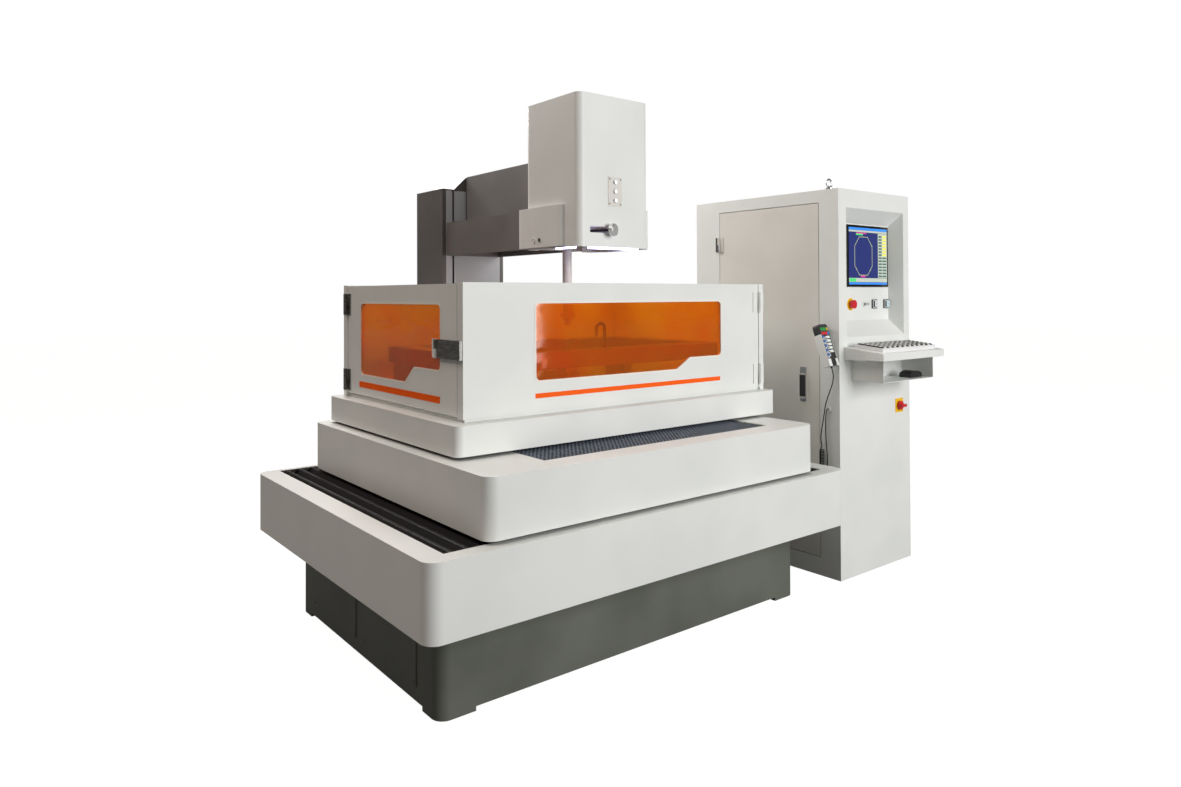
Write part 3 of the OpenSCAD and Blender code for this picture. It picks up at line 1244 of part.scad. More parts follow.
module button_plate() color(light_grey) place() {
    difference() {
        span([column_mid - plate_half, head_y0 - plate_t, head_z0 + plate_z],
             [column_mid + plate_half, head_y0, head_z0 + plate_z + plate_h]);
        button_holes();
    }
    for (x = [-plate_half + screw_d, plate_half - screw_d], z = [screw_d, plate_h - screw_d])
        rod_y([column_mid + x, head_y0 - plate_t - screw_rise, head_z0 + plate_z + z], screw_d - cut, screw_rise);
}
module head_button(z) {
    rod_y([column_mid, head_y0 - plate_t - button_out, head_z0 + z], button_d, plate_t + button_out + head_sheet + button_push);
    rod_y([column_mid, head_y0 + head_sheet + slide_gap, head_z0 + z], button_d + button_flange, button_push);
}
module head_button_top() color(light_grey) place() head_button(button_z[0]);
module head_button_middle() color(light_grey) place() head_button(button_z[1]);
module head_button_bottom() color(light_grey) place() head_button(button_z[2]);

skirt_left = 18.5;
skirt_right = 94.5;
skirt_front = 94;        // skirt's front behind the head's front
skirt_back = 39;         // skirt's back behind the head's back
skirt_h = 167;
skirt_rise = 6;
skirt_corner_r = 25;
skirt_socket_z = 30;
skirt_socket_d = 22;
skirt_room = 20;         // room under the nose in the skirt's back
module head_skirt() color(white_paint) place() {
    x0 = head_x0 - skirt_left;
    x1 = head_x1 + skirt_right;
    y0 = head_y0 + skirt_front;
    y1 = head_y1 + skirt_back;
    z0 = head_z0 + skirt_rise;
    z1 = z0 + skirt_h;
    difference() {
        rounded_span([x0, y0, z0], [x1, y1, z1], skirt_corner_r);
        rounded_span([x0 + sheet, y0 + sheet, z0 - cut], [x1 - sheet, y1 - sheet, z1 - sheet], skirt_corner_r - sheet);
        rounded_span([head_x0, head_y0, z0 - cut], [head_x1, head_y1, z1 + cut], head_corner_r);
        span([column_mid - head_back_half, head_y1 - cut, arm_z1 - nose_t - skirt_room],
             [column_mid + head_back_half, y1 + cut, z1 + cut]);
    }
    difference() {
        rod_x([x0 - sheet, wire_y, z0 + skirt_socket_z], skirt_socket_d, sheet);
        rod_x([x0 - sheet - cut, wire_y, z0 + skirt_socket_z], skirt_socket_d / 2, sheet);
    }
}

// Control cabinet: shell, side door, lock and lifting eyes
cabinet_wall = 3;
cabinet_door_y0 = 255;
cabinet_door_y1 = 890;
cabinet_door_z0 = 90;
cabinet_door_z1 = 1787;
cabinet_door_t = 20;
cabinet_hinge_d = 12;
cabinet_hinge_h = 78;
cabinet_hinge_reach = 26;
cabinet_hinge_z = [200, 880, 1579];
console_left = 58;       // console recess from the cabinet's left side
console_z0 = 1140;
switch_x = 509;          // main switch from the cabinet's left side
switch_z = 783;
switch_shaft_d = 16;
plinth_h = 60;
console_x0 = cabinet_x0 + console_left;
console_x1 = console_x0 + console_w;
console_z1 = console_z0 + console_h;
module cabinet_shell() color(white_paint) place() {
    difference() {
        span([cabinet_x0, cabinet_y0, 0], [cabinet_x1, cabinet_y1, cabinet_h]);
        span([cabinet_x0 + cabinet_wall, cabinet_y0 + cabinet_wall, plinth_h],
             [cabinet_x1 - cabinet_wall, cabinet_y1 - cabinet_wall, cabinet_h - cabinet_wall]);
        span([cabinet_x0 + cabinet_wall, cabinet_y0 + cabinet_wall, -cut],
             [cabinet_x1 - cabinet_wall, cabinet_y1 - cabinet_wall, plinth_h - cabinet_wall]);
        span([cabinet_x0 - cut, cabinet_door_y0 - door_gap, cabinet_door_z0 - door_gap],
             [cabinet_x0 + cabinet_wall + cut, cabinet_door_y1 + door_gap, cabinet_door_z1 + door_gap]);
        span([console_x0, cabinet_y0 - cut, console_z0], [console_x1, cabinet_y0 + cabinet_wall + cut, console_z1]);
        rod_y([cabinet_x0 + switch_x, cabinet_y0 - cut, switch_z], switch_shaft_d + 2 * shaft_gap, cabinet_wall + 2 * cut);
    }
}

// Lock of the cabinet door, on the door's front edge
lock_y = [327, 367];
lock_z = [822, 995];
lock_t = 4;
handle_y = 347;
handle_z = 862;
handle_w = 24;
handle_l = 104;
handle_t = 12;
handle_shaft_d = 14;
module cabinet_door() color(white_paint) place() {
    difference() {
        span([cabinet_x0, cabinet_door_y0, cabinet_door_z0],
             [cabinet_x0 + cabinet_door_t, cabinet_door_y1, cabinet_door_z1]);
        span([cabinet_x0 + cabinet_wall, cabinet_door_y0 + cabinet_wall, cabinet_door_z0 + cabinet_wall],
             [cabinet_x0 + cabinet_door_t + cut, cabinet_door_y1 - cabinet_wall, cabinet_door_z1 - cabinet_wall]);
        rod_x([cabinet_x0 - cut, handle_y, handle_z], handle_shaft_d + 2 * shaft_gap, cabinet_wall + 2 * cut);
    }
    difference() {
        span([cabinet_x0 - lock_t, lock_y[0], lock_z[0]], [cabinet_x0, lock_y[1], lock_z[1]]);
        rod_x([cabinet_x0 - lock_t - cut, handle_y, handle_z], handle_shaft_d + 2 * shaft_gap, lock_t + 2 * cut);
    }
    for (z = cabinet_hinge_z) at_cabinet_pivot(z) hinge_moving(cabinet_hinge_d, cabinet_hinge_h, cabinet_hinge_reach);
}
module door_lock_handle() color(plastic_black) place() {
    rod_x([cabinet_x0 - lock_t - slide_gap - cut, handle_y, handle_z], handle_shaft_d,
        lock_t + slide_gap + cut + cabinet_wall + cut);
    span([cabinet_x0 - lock_t - slide_gap - handle_t, handle_y - handle_w / 2, handle_z - handle_w / 2],
         [cabinet_x0 - lock_t - slide_gap, handle_y + handle_w / 2, handle_z - handle_w / 2 + handle_l]);
}
module at_cabinet_pivot(z) {
    translate([cabinet_x0 - hinge_out(cabinet_hinge_d), cabinet_door_y1 + leaf_clear, z]) mirror([1, -1, 0]) children();
}
eye_x = 38;
eye_y = 76;
eye_base_d = 30;
eye_base_h = 10;
eye_ring_r = 19;
eye_ring_d = 9;
module eye_bolt(x, y) {
    rod_z([x, y, cabinet_h], eye_base_d, eye_base_h);
    translate([x, y, cabinet_h + eye_base_h + eye_ring_r + eye_ring_d / 2 - cut]) rotate([90, 0, 0])
        rotate_extrude() translate([eye_ring_r, 0]) circle(d = eye_ring_d, $fn = 24);
}
module cabinet_fittings() color(steel) place() {
    eye_bolt(cabinet_x0 + eye_x, cabinet_y0 + eye_y);
    eye_bolt(cabinet_x1 - eye_x, cabinet_y1 - eye_y);
    for (z = cabinet_hinge_z) at_cabinet_pivot(z) hinge_fixed(cabinet_hinge_d, cabinet_hinge_h, cabinet_hinge_reach);
}

// Console: a sheet tray with sloped sides, the screen and the switches
console_slope_low = 75;
console_slope_top = 65;
console_slope_right = 30;
console_face_y = cabinet_y0 + console_depth;
module console_tub(t, front) intersection() {
    along_x(console_x0 + t, console_x1 - t) polygon([
        [cabinet_y0 - front, console_z0 + t], [cabinet_y0, console_z0 + t],
        [console_face_y + cabinet_wall - t, console_z0 + console_slope_low + t],
        [console_face_y + cabinet_wall - t, console_z1 - console_slope_top - t],
        [cabinet_y0, console_z1 - t], [cabinet_y0 - front, console_z1 - t]]);
    translate([0, 0, console_z0]) linear_extrude(console_h) polygon([
        [console_x0 + t, cabinet_y0 - front], [console_x0 + t, console_face_y + cabinet_wall],
        [console_x1 - console_slope_right - t, console_face_y + cabinet_wall],
        [console_x1 - t, cabinet_y0], [console_x1 - t, cabinet_y0 - front]]);
}
monitor_x = [166, 523];
monitor_z = [244, 551];
bezel_t = 6;
bezel_lap = 8;
monitor_depth = 40;
stop_x = 198;
key_x = 315;
button_left_x = 403;
button_right_x = 508;
switches_z = 158;        // row of switches above the recess's bottom
stop_stem_d = 22;
stop_cap_h = 14;
stop_push = 6;
stop_flange = 6;
key_d = 16;
key_collar_d = 28;
key_collar_h = 4;
key_blade = [3, 22, 14];
square_collar = 38;
square_collar_h = 8;
square_push = 3;
square_lap = 4;
square_cap_h = 6;
module console_panel() color(white_paint) place() {
    difference() {
        union() {
            difference() {
                console_tub(0, 0);
                console_tub(cabinet_wall, cut);
            }
            rod_y([cabinet_x0 + key_x, console_face_y - key_collar_h, console_z0 + switches_z], key_collar_d, key_collar_h);
            for (x = [button_left_x, button_right_x])
                span([cabinet_x0 + x - square_collar / 2, console_face_y - square_collar_h, console_z0 + switches_z - square_collar / 2],
                     [cabinet_x0 + x + square_collar / 2, console_face_y, console_z0 + switches_z + square_collar / 2]);
        }
        rod_y([cabinet_x0 + key_x, console_face_y - key_collar_h - cut, console_z0 + switches_z],
            key_d + 2 * shaft_gap, key_collar_h + cabinet_wall + 2 * cut);
        rod_y([cabinet_x0 + stop_x, console_face_y - cut, console_z0 + switches_z],
            stop_stem_d + 2 * shaft_gap, cabinet_wall + 2 * cut);
        for (x = [button_left_x, button_right_x])
            span([cabinet_x0 + x - square_button / 2 - slide_gap, console_face_y - square_collar_h - cut,
                  console_z0 + switches_z - square_button / 2 - slide_gap],
                 [cabinet_x0 + x + square_button / 2 + slide_gap, console_face_y + cabinet_wall + cut,
                  console_z0 + switches_z + square_button / 2 + slide_gap]);
        span([cabinet_x0 + monitor_x[0] + bezel_lap - slide_gap, console_face_y - cut, console_z0 + monitor_z[0] + bezel_lap - slide_gap],
             [cabinet_x0 + monitor_x[1] - bezel_lap + slide_gap, console_face_y + cabinet_wall + cut,
              console_z0 + monitor_z[1] - bezel_lap + slide_gap]);
    }
}
module monitor() color(plastic_black) place() {
    span([cabinet_x0 + monitor_x[0], console_face_y - bezel_t, console_z0 + monitor_z[0]],
         [cabinet_x0 + monitor_x[1], console_face_y, console_z0 + monitor_z[1]]);
    span([cabinet_x0 + monitor_x[0] + bezel_lap, console_face_y, console_z0 + monitor_z[0] + bezel_lap],
         [cabinet_x0 + monitor_x[1] - bezel_lap, console_face_y + monitor_depth, console_z0 + monitor_z[1] - bezel_lap]);
}

// Backing plates, the emergency stop, the key, the push buttons and the main switch
backing_t = 1.5;
stop_ring_d = 60;
switch_plate = 70;
module switch_plates() color(warning_yellow) place() difference() {
    union() {
        rod_y([cabinet_x0 + stop_x, console_face_y - backing_t, console_z0 + switches_z], stop_ring_d, backing_t);
        span([cabinet_x0 + switch_x - switch_plate / 2, cabinet_y0 - backing_t, switch_z - switch_plate / 2],
             [cabinet_x0 + switch_x + switch_plate / 2, cabinet_y0, switch_z + switch_plate / 2]);
    }
    rod_y([cabinet_x0 + stop_x, console_face_y - backing_t - cut, console_z0 + switches_z],
        stop_stem_d + 2 * shaft_gap, backing_t + 2 * cut);
    rod_y([cabinet_x0 + switch_x, cabinet_y0 - backing_t - cut, switch_z], switch_shaft_d + 2 * shaft_gap, backing_t + 2 * cut);
}
module emergency_stop() color(stop_red) place() {
    stem = stop_push + cut + backing_t + cabinet_wall + slide_gap;
    y = console_face_y - backing_t - stop_push - cut;
    rod_y([cabinet_x0 + stop_x, y - stop_cap_h, console_z0 + switches_z], stop_d, stop_cap_h);
    rod_y([cabinet_x0 + stop_x, y, console_z0 + switches_z], stop_stem_d, stem + cut);
    rod_y([cabinet_x0 + stop_x, y + stem, console_z0 + switches_z], stop_stem_d + stop_flange, cut);
}
module key_switch() color(steel) place() {
    rod_y([cabinet_x0 + key_x, console_face_y - key_collar_h - cut, console_z0 + switches_z],
        key_d, key_collar_h + cabinet_wall + 2 * cut);
    span([cabinet_x0 + key_x - key_blade[0] / 2, console_face_y - key_collar_h - cut - key_blade[1], console_z0 + switches_z - key_blade[2] / 2],
         [cabinet_x0 + key_x + key_blade[0] / 2, console_face_y - key_collar_h, console_z0 + switches_z + key_blade[2] / 2]);
}
module square_push_button(x) {
    half = square_button / 2;
    z = console_z0 + switches_z;
    back = console_face_y + cabinet_wall + slide_gap;
    span([cabinet_x0 + x - half, console_face_y - square_collar_h - square_cap_h, z - half], [cabinet_x0 + x + half, back + cut, z + half]);
    span([cabinet_x0 + x - half - square_lap, back, z - half - square_lap],
         [cabinet_x0 + x + half + square_lap, back + cut, z + half + square_lap]);
}
module square_button_left() color(light_grey) place() square_push_button(button_left_x);
module square_button_right() color(light_grey) place() square_push_button(button_right_x);
main_knob_t = 20;
main_grip = [14, 18];
module main_switch_knob() color(stop_red) place() {
    y = cabinet_y0 - backing_t - cut;
    rod_y([cabinet_x0 + switch_x, y - main_knob_t / 2, switch_z], main_knob_d, main_knob_t / 2);
    rod_y([cabinet_x0 + switch_x, y - cut, switch_z], switch_shaft_d, 3 * cut + backing_t + cabinet_wall);
    span([cabinet_x0 + switch_x - main_knob_d / 2 + cut, y - main_knob_t / 2 - main_grip[1], switch_z - main_grip[0] / 2],
         [cabinet_x0 + switch_x + main_knob_d / 2 - cut, y - main_knob_t / 2, switch_z + main_grip[0] / 2]);
}

// Keyboard shelf with the mouse box under it
shelf_left = 38;
shelf_w = 534;
shelf_z0 = 1041;
shelf_front_h = 34;
shelf_back_h = 55;
shelf_bottom_depth = 122;
mouse_box_left = 96;
mouse_box_w = 438;
mouse_box_reach = 170;
mouse_box_h = 106;
shelf_x0 = cabinet_x0 + shelf_left;
shelf_x1 = shelf_x0 + shelf_w;
shelf_y0 = cabinet_y0 - shelf_reach;
mouse_x0 = cabinet_x0 + mouse_box_left;
mouse_z0 = shelf_z0 - mouse_box_h;
module keyboard_shelf() color(white_paint) place() {
    difference() {
        along_x(shelf_x0, shelf_x1) polygon([
            [shelf_y0, shelf_z0], [cabinet_y0, shelf_z0],
            [cabinet_y0, shelf_z0 + shelf_back_h], [shelf_y0, shelf_z0 + shelf_front_h]]);
        along_x(shelf_x0 + cabinet_wall, shelf_x1 - cabinet_wall) polygon([
            [shelf_y0 + cabinet_wall, shelf_z0 - cut], [cabinet_y0 - cabinet_wall, shelf_z0 - cut],
            [cabinet_y0 - cabinet_wall, shelf_z0 + shelf_back_h - cabinet_wall],
            [shelf_y0 + cabinet_wall, shelf_z0 + shelf_front_h - cabinet_wall]]);
    }
    difference() {
        union() {
            span([mouse_x0, cabinet_y0 - mouse_box_reach, mouse_z0], [mouse_x0 + mouse_box_w, cabinet_y0, shelf_z0]);
            span([shelf_x0, cabinet_y0 - shelf_bottom_depth, shelf_z0 - cabinet_wall], [shelf_x1, cabinet_y0, shelf_z0]);
        }
        span([mouse_x0 + cabinet_wall, cabinet_y0 - mouse_box_reach - cut, mouse_z0 + cabinet_wall],
             [mouse_x0 + mouse_box_w - cabinet_wall, cabinet_y0 - cabinet_wall, shelf_z0 - cabinet_wall]);
    }
}
keyboard_w = 460;
keyboard_d = 150;
keyboard_t = 18;
keyboard_setback = 26;
mouse_l = 104;
mouse_w = 60;
mouse_h = 32;
mouse_place = [300, 40];
function shelf_top(y) = shelf_z0 + shelf_front_h + (shelf_back_h - shelf_front_h) * (y - shelf_y0) / shelf_reach;
module keyboard_and_mouse() color(plastic_black) place() {
    y0 = shelf_y0 + keyboard_setback;
    y1 = y0 + keyboard_d;
    x0 = (shelf_x0 + shelf_x1 - keyboard_w) / 2;
    along_x(x0, x0 + keyboard_w) polygon([[y0, shelf_top(y0)], [y1, shelf_top(y1)],
        [y1, shelf_top(y1) + keyboard_t], [y0, shelf_top(y0) + keyboard_t]]);
    translate([mouse_x0 + mouse_place.x, cabinet_y0 - mouse_box_reach + mouse_place.y, mouse_z0 + cabinet_wall])
        along_y(0, mouse_w) intersection() {
            square([mouse_l, mouse_h]);
            translate([mouse_l / 2, mouse_h - mouse_l]) circle(mouse_l);
        }
}

// Handset in its cradle, keys to the front and tilted back, and its cord
handset_at = [cabinet_y0 + 46, 1108];
handset_tilt = 19;
handset_w = 68;
handset_l = 196;
handset_t = 36;
handset_r = 14;
handset_play = 0.5;      // play of the handset in its cradle
cradle_wall = 2.5;
cradle_gap = 9.5;        // room between the cradle and the cabinet
cradle_floor = 7;
cradle_rise = 147;       // cradle's top above the handset's bottom
cradle_lip_h = 28;
cradle_lip_left = 22;
cradle_lip_right = 17;
cradle_slot_back = 8;    // slot for the cord behind the handset's middle
cradle_boss_d = 14;
cradle_boss_z = 40;
handset_x1 = -cradle_gap - cradle_wall - handset_play;
handset_x0 = handset_x1 - handset_w;
cradle_x0 = handset_x0 - handset_play - cradle_wall;
relief_d = 10;
relief_l = 14;
gland_d = 25;
gland_h = 8;
module at_handset() {
    translate([cabinet_x0, handset_at.x, handset_at.y]) rotate([-handset_tilt, 0, 0]) children();
}
module handset_holder() color(white_paint) place() {
    foot = -handset_l / 2;
    front = -handset_t / 2 - handset_play;
    at_handset() difference() {
        span([cradle_x0, front - cradle_wall, foot - cradle_floor],
             [-cradle_gap, handset_t / 2 + cradle_wall, foot + cradle_rise]);
        span([cradle_x0 + cradle_wall, front, foot], [-cradle_gap - cradle_wall, handset_t / 2, handset_l / 2]);
        span([cradle_x0 + cradle_wall, front - cradle_wall - cut, foot + cradle_lip_h],
             [-cradle_gap - cradle_wall, 0, handset_l / 2]);
        span([cradle_x0 + cradle_lip_left, front - cradle_wall - cut, foot - cradle_floor - cut],
             [-cradle_gap - cradle_lip_right, cradle_slot_back, foot + cradle_lip_h + cut]);
    }
    at_handset() for (z = [-cradle_boss_z, cradle_boss_z])
        rod_x([-cradle_gap - cradle_wall / 2, 0, z], cradle_boss_d, cradle_gap + cradle_wall / 2);
    rod_x([cabinet_x0 - gland_h, gland_at.x, gland_at.y], gland_d, gland_h);
}
module handset() color(plastic_black) place() at_handset() {
    along_y(-handset_t / 2, handset_t / 2)
        translate([handset_x0, -handset_l / 2]) rounded_square(handset_w, handset_l, handset_r);
    rod_z([(handset_x0 + handset_x1) / 2, 0, -handset_l / 2 - relief_l], relief_d, relief_l + cut);
}
gland_at = [cabinet_y0 + 61, 802];

// The cord's two free stretches, from the cabinet's front left foot: handset to curl, and curl to gland
function at_cabinet(route) = [for (p = route) [cabinet_x0 + p.x, cabinet_y0 + p.y, p.z]];
cord_drop = handset_l / 2 + relief_l;
cord_start = [cabinet_x0 + (handset_x0 + handset_x1) / 2, handset_at.x - cord_drop * sin(handset_tilt),
    handset_at.y - cord_drop * cos(handset_tilt)];
upper_cord = concat([cord_start], at_cabinet([[-46, 7, 992], [-42, 5, 966], [-34, 14, 934], [-27, 31, 900],
    [-23, 49, 862], [-22, 63, 822], [-22, 75, 757], [-22, 88, 690], [-22, 90, 655], [-22, 87, 636], [-22, 86, 627]]));
lower_cord = at_cabinet([[-22, 86, 445], [-22, 86, 436], [-22, 82, 425], [-22, 71, 420], [-22, 60, 425],
    [-22, 55, 437], [-22, 54, 500], [-22, 55, 582], [-22, 62, 668], [-22, 63, 740], [-22, 61, 778],
    [-20, 61, 792], [-14, 61, 801], [-8, 61, 802]]);
cord_steps = 3;
cord_sides = 8;
curl_top = upper_cord[len(upper_cord) - 1];
curl_foot = lower_cord[0];
curl_d = 24;
curl_turns = 22;
curl_rings = 8;
curl_sides = 6;
curl_ramp = 0.75;        // turns in which the curl opens out
curl_lead = 9;           // extra drop of each ramp
function smooth(p, steps) = [for (i = [0 : len(p) - 2], k = [0 : i < len(p) - 2 ? steps - 1 : steps]) let (
    a = p[max(i - 1, 0)], b = p[i], c = p[i + 1], d = p[min(i + 2, len(p) - 1)], t = k / steps
) (2 * b + t * (c - a) + t * t * (2 * a - 5 * b + 4 * c - d) + t * t * t * (3 * b - a - 3 * c + d)) / 2];
function tangent(p, i) = unit(p[min(i + 1, len(p) - 1)] - p[max(min(i, len(p) - 1) - 1, 0)]);
function square_to(v, t) = unit(v - (v * t) * t);
module tube(p, d, sides) {
    n = len(p);
    ups = [for (i = 0, u = square_to([1, 1, 0], tangent(p, 0)); i < n; i = i + 1, u = square_to(u, tangent(p, i))) u];
    rings = [for (i = [0 : n - 1], k = [0 : sides - 1]) let (
        t = tangent(p, i), u = ups[i], v = cross(t, u), a = 360 * k / sides
    ) p[i] + d / 2 * (cos(a) * u + sin(a) * v)];
    sleeve = [for (i = [0 : n - 2], k = [0 : sides - 1]) let (
        a = i * sides + k, b = i * sides + (k + 1) % sides
    ) each [[a, b + sides, b], [a, a + sides, b + sides]]];
    start = [for (k = [1 : sides - 2]) [0, k, k + 1]];
    finish = [for (k = [1 : sides - 2]) (n - 1) * sides * [1, 1, 1] + [0, k + 1, k]];
    polyhedron(rings, concat(start, sleeve, finish));
}
curl_l = curl_top.z - curl_foot.z - 2 * cord_d;
curl_pitch = (curl_l - 2 * curl_lead) / curl_turns;
curl_path = concat([curl_top], [for (k = [0 : curl_turns * curl_rings]) let (
    s = k / curl_rings, open = min(1, s / curl_ramp, (curl_turns - s) / curl_ramp), r = open * (curl_d - cord_d) / 2,
    drop = curl_pitch * s + curl_lead * (min(1, s / curl_ramp) + max(0, (s - curl_turns) / curl_ramp + 1))
) [curl_top.x + r * cos(360 * s), curl_top.y + r * sin(360 * s), curl_top.z - cord_d - drop]], [curl_foot]);
curl_gap = min([for (i = [0 : len(curl_path) - 1], j = [i + curl_rings / 2 : 1 : len(curl_path) - 1])
    norm(curl_path[i] - curl_path[j]) - cord_d]);
function path_length(p) = len(p) < 2 ? 0 : norm(p[1] - p[0]) + (len(p) > 2 ? path_length([for (i = [1 : len(p) - 1]) p[i]]) : 0);
echo(curl_least_gap = curl_gap, curl_length = path_length(curl_path),
    upper_length = path_length(smooth(upper_cord, cord_steps)), lower_length = path_length(smooth(lower_cord, cord_steps)));
module handset_cord() color(plastic_black) place() {
    tube(smooth(upper_cord, cord_steps), cord_d, cord_sides);
    tube(smooth(lower_cord, cord_steps), cord_d, cord_sides);
}
module handset_cord_curl() color(plastic_black) place() tube(curl_path, cord_d, curl_sides);

bed_casting();
drip_pan();
x_ways();
x_ball_screw();
x_cover_outer();
x_cover_stage();
saddle_casting();
saddle_cover();
y_ways();
y_ball_screw();
saddle_way_covers();
y_cover_stage();
table_casting();
table_way_covers();
tray();
worktable();
coolant_nozzle();
guard_frame();
left_door();
left_window();
front_door();
front_window();
door_latch();
column_casting();
column_covers();
lower_arm();
cutting_wire();
drum_housing();
drum_lid();
drum_carriage();
wire_drum();
arm_block();
arm_cover();
taper_slide();
head_frame();
head_skirt();
head_cover();
button_plate();
head_button_top();
head_button_middle();
head_button_bottom();
tension_lever();
cabinet_shell();
cabinet_door();
door_lock_handle();
cabinet_fittings();
console_panel();
monitor();
switch_plates();
emergency_stop();
key_switch();
square_button_left();
square_button_right();
main_switch_knob();
keyboard_shelf();
keyboard_and_mouse();
handset_holder();
handset();
handset_cord();
handset_cord_curl();
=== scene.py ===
"""Looks of the wire EDM machine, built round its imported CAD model. Metres, in the model's own frame."""
import math

import bmesh
import bpy
from mathutils import Matrix, Vector


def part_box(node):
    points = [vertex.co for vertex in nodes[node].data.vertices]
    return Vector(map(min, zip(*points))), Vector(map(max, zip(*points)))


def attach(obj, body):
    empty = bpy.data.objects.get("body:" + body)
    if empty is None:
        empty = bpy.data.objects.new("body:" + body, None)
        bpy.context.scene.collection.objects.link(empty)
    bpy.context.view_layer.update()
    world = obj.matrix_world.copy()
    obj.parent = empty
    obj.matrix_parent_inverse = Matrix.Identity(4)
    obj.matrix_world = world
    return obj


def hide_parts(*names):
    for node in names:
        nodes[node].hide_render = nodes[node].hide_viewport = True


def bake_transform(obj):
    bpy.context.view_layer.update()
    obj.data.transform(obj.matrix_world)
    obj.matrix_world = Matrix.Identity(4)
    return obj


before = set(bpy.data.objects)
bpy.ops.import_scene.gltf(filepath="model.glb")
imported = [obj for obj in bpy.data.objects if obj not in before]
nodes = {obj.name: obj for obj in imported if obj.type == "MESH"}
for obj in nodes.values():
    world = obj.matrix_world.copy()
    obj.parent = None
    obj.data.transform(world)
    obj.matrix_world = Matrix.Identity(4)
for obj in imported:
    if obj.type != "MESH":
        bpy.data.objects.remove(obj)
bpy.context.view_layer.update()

MM = 0.001

# Camera: fitted to the photo, whose frame is 1181 by 787 pixels
PHOTO_W = 1181
PHOTO_H = 787
CAMERA_AT = (-2.5152, -3.1772, 1.3490)
CAMERA_YAW = 0.6727
CAMERA_PITCH = 0.0118
CAMERA_ROLL = -0.0042
FOCAL_PX = 818.72
HORIZON_PX = 285.36
SENSOR_MM = 36.0

# Cord of the handset, points in millimetres from the floor below the drip pan's front left corner
PAN_CORNER = (-1410.0, -1032.0, 0.0)
CORD_D = 5.0
UPPER_CORD = [(2165.5, 151.54, 1002.1), (2166, 149, 992), (2170, 147, 966), (2178, 156, 934),
              (2185, 173, 900), (2189, 191, 862), (2190, 205, 822), (2190, 217, 757), (2190, 230, 690),
              (2190, 232, 655), (2190, 229, 636), (2190, 228, 627)]
LOWER_CORD = [(2190, 228, 445), (2190, 228, 436), (2190, 224, 425), (2190, 213, 420), (2190, 202, 425),
              (2190, 197, 437), (2190, 196, 500), (2190, 197, 582), (2190, 204, 668), (2190, 205, 740),
              (2190, 203, 778), (2192, 203, 792), (2198, 203, 801), (2204, 203, 802)]
CURL_D = 24.0
CURL_TURNS = 22
CURL_RAMP = 0.75
CURL_LEAD = 9.0


def at(x, y, z):
    """A point in millimetres from the drip pan's front left corner on the floor, in the model's frame."""
    return (Vector((x, y, z)) + Vector(PAN_CORNER)) * MM


def make_camera():
    right = Vector((math.cos(CAMERA_YAW), -math.sin(CAMERA_YAW), 0))
    ahead = Vector((math.sin(CAMERA_YAW) * math.cos(CAMERA_PITCH),
                    math.cos(CAMERA_YAW) * math.cos(CAMERA_PITCH), math.sin(CAMERA_PITCH)))
    up = right.cross(ahead)
    tilted_right = right * math.cos(CAMERA_ROLL) + up * math.sin(CAMERA_ROLL)
    tilted_up = up * math.cos(CAMERA_ROLL) - right * math.sin(CAMERA_ROLL)
    turned = Matrix((tilted_right, tilted_up, -ahead)).transposed().to_4x4()
    camera = bpy.data.objects.new("camera", bpy.data.cameras.new("camera"))
    camera.matrix_world = Matrix.Translation(CAMERA_AT) @ turned
    camera.data.sensor_width = SENSOR_MM
    camera.data.lens = SENSOR_MM * FOCAL_PX / PHOTO_W
    camera.data.shift_y = (HORIZON_PX - PHOTO_H / 2) / PHOTO_W
    camera.data.clip_end = 100
    bpy.context.scene.collection.objects.link(camera)
    bpy.context.scene.camera = camera


make_camera()


# Colours and node trees
def linear(code, alpha=1.0):
    parts = [int(code[i:i + 2], 16) / 255 for i in (1, 3, 5)]
    return tuple(c / 12.92 if c <= 0.04045 else ((c + 0.055) / 1.055) ** 2.4 for c in parts) + (alpha,)


def add(tree, kind, links=None, **settings):
    """Adds a node; a setting is a property of the node or, where it has none, the value of a socket."""
    node = tree.nodes.new(kind)
    for key, value in settings.items():
        if hasattr(node, key):
            setattr(node, key, value)
        else:
            node.inputs[key.replace("_", " ")].default_value = value
    for key, source in (links or {}).items():
        socket = node.inputs[key if isinstance(key, int) else key.replace("_", " ")]
        tree.links.new(source, socket)
    return node


def surface(name, **settings):
    """A material with one Principled shader. Returns the material, its tree and the shader."""
    made = bpy.data.materials.new(name)
    made.use_nodes = True
    tree = made.node_tree
    shader = tree.nodes["Principled BSDF"]
    for key, value in settings.items():
        shader.inputs[key.replace("_", " ")].default_value = value
    return made, tree, shader


def grained(name, light, dark, grain_mm, bump_mm, patch_mm=300, **settings):
    """Paint or plastic: two close colours in soft patches, and a fine grain that only bumps."""
    made, tree, shader = surface(name, **settings)
    place = add(tree, "ShaderNodeTexCoord")
    patches = add(tree, "ShaderNodeTexNoise", {"Vector": place.outputs["Object"]},
                  Scale=1 / (patch_mm * MM), Detail=2.0)
    ramp = add(tree, "ShaderNodeValToRGB", {"Fac": patches.outputs["Fac"]})
    ramp.color_ramp.elements[0].position = 0.35
    ramp.color_ramp.elements[0].color = linear(dark)
    ramp.color_ramp.elements[1].position = 0.65
    ramp.color_ramp.elements[1].color = linear(light)
    tree.links.new(ramp.outputs["Color"], shader.inputs["Base Color"])
    grain = add(tree, "ShaderNodeTexNoise", {"Vector": place.outputs["Object"]},
                Scale=1 / (grain_mm * MM), Detail=3.0)
    bump = add(tree, "ShaderNodeBump", {"Height": grain.outputs["Fac"]}, Strength=0.5, Distance=bump_mm * MM)
    tree.links.new(bump.outputs["Normal"], shader.inputs["Normal"])
    return made


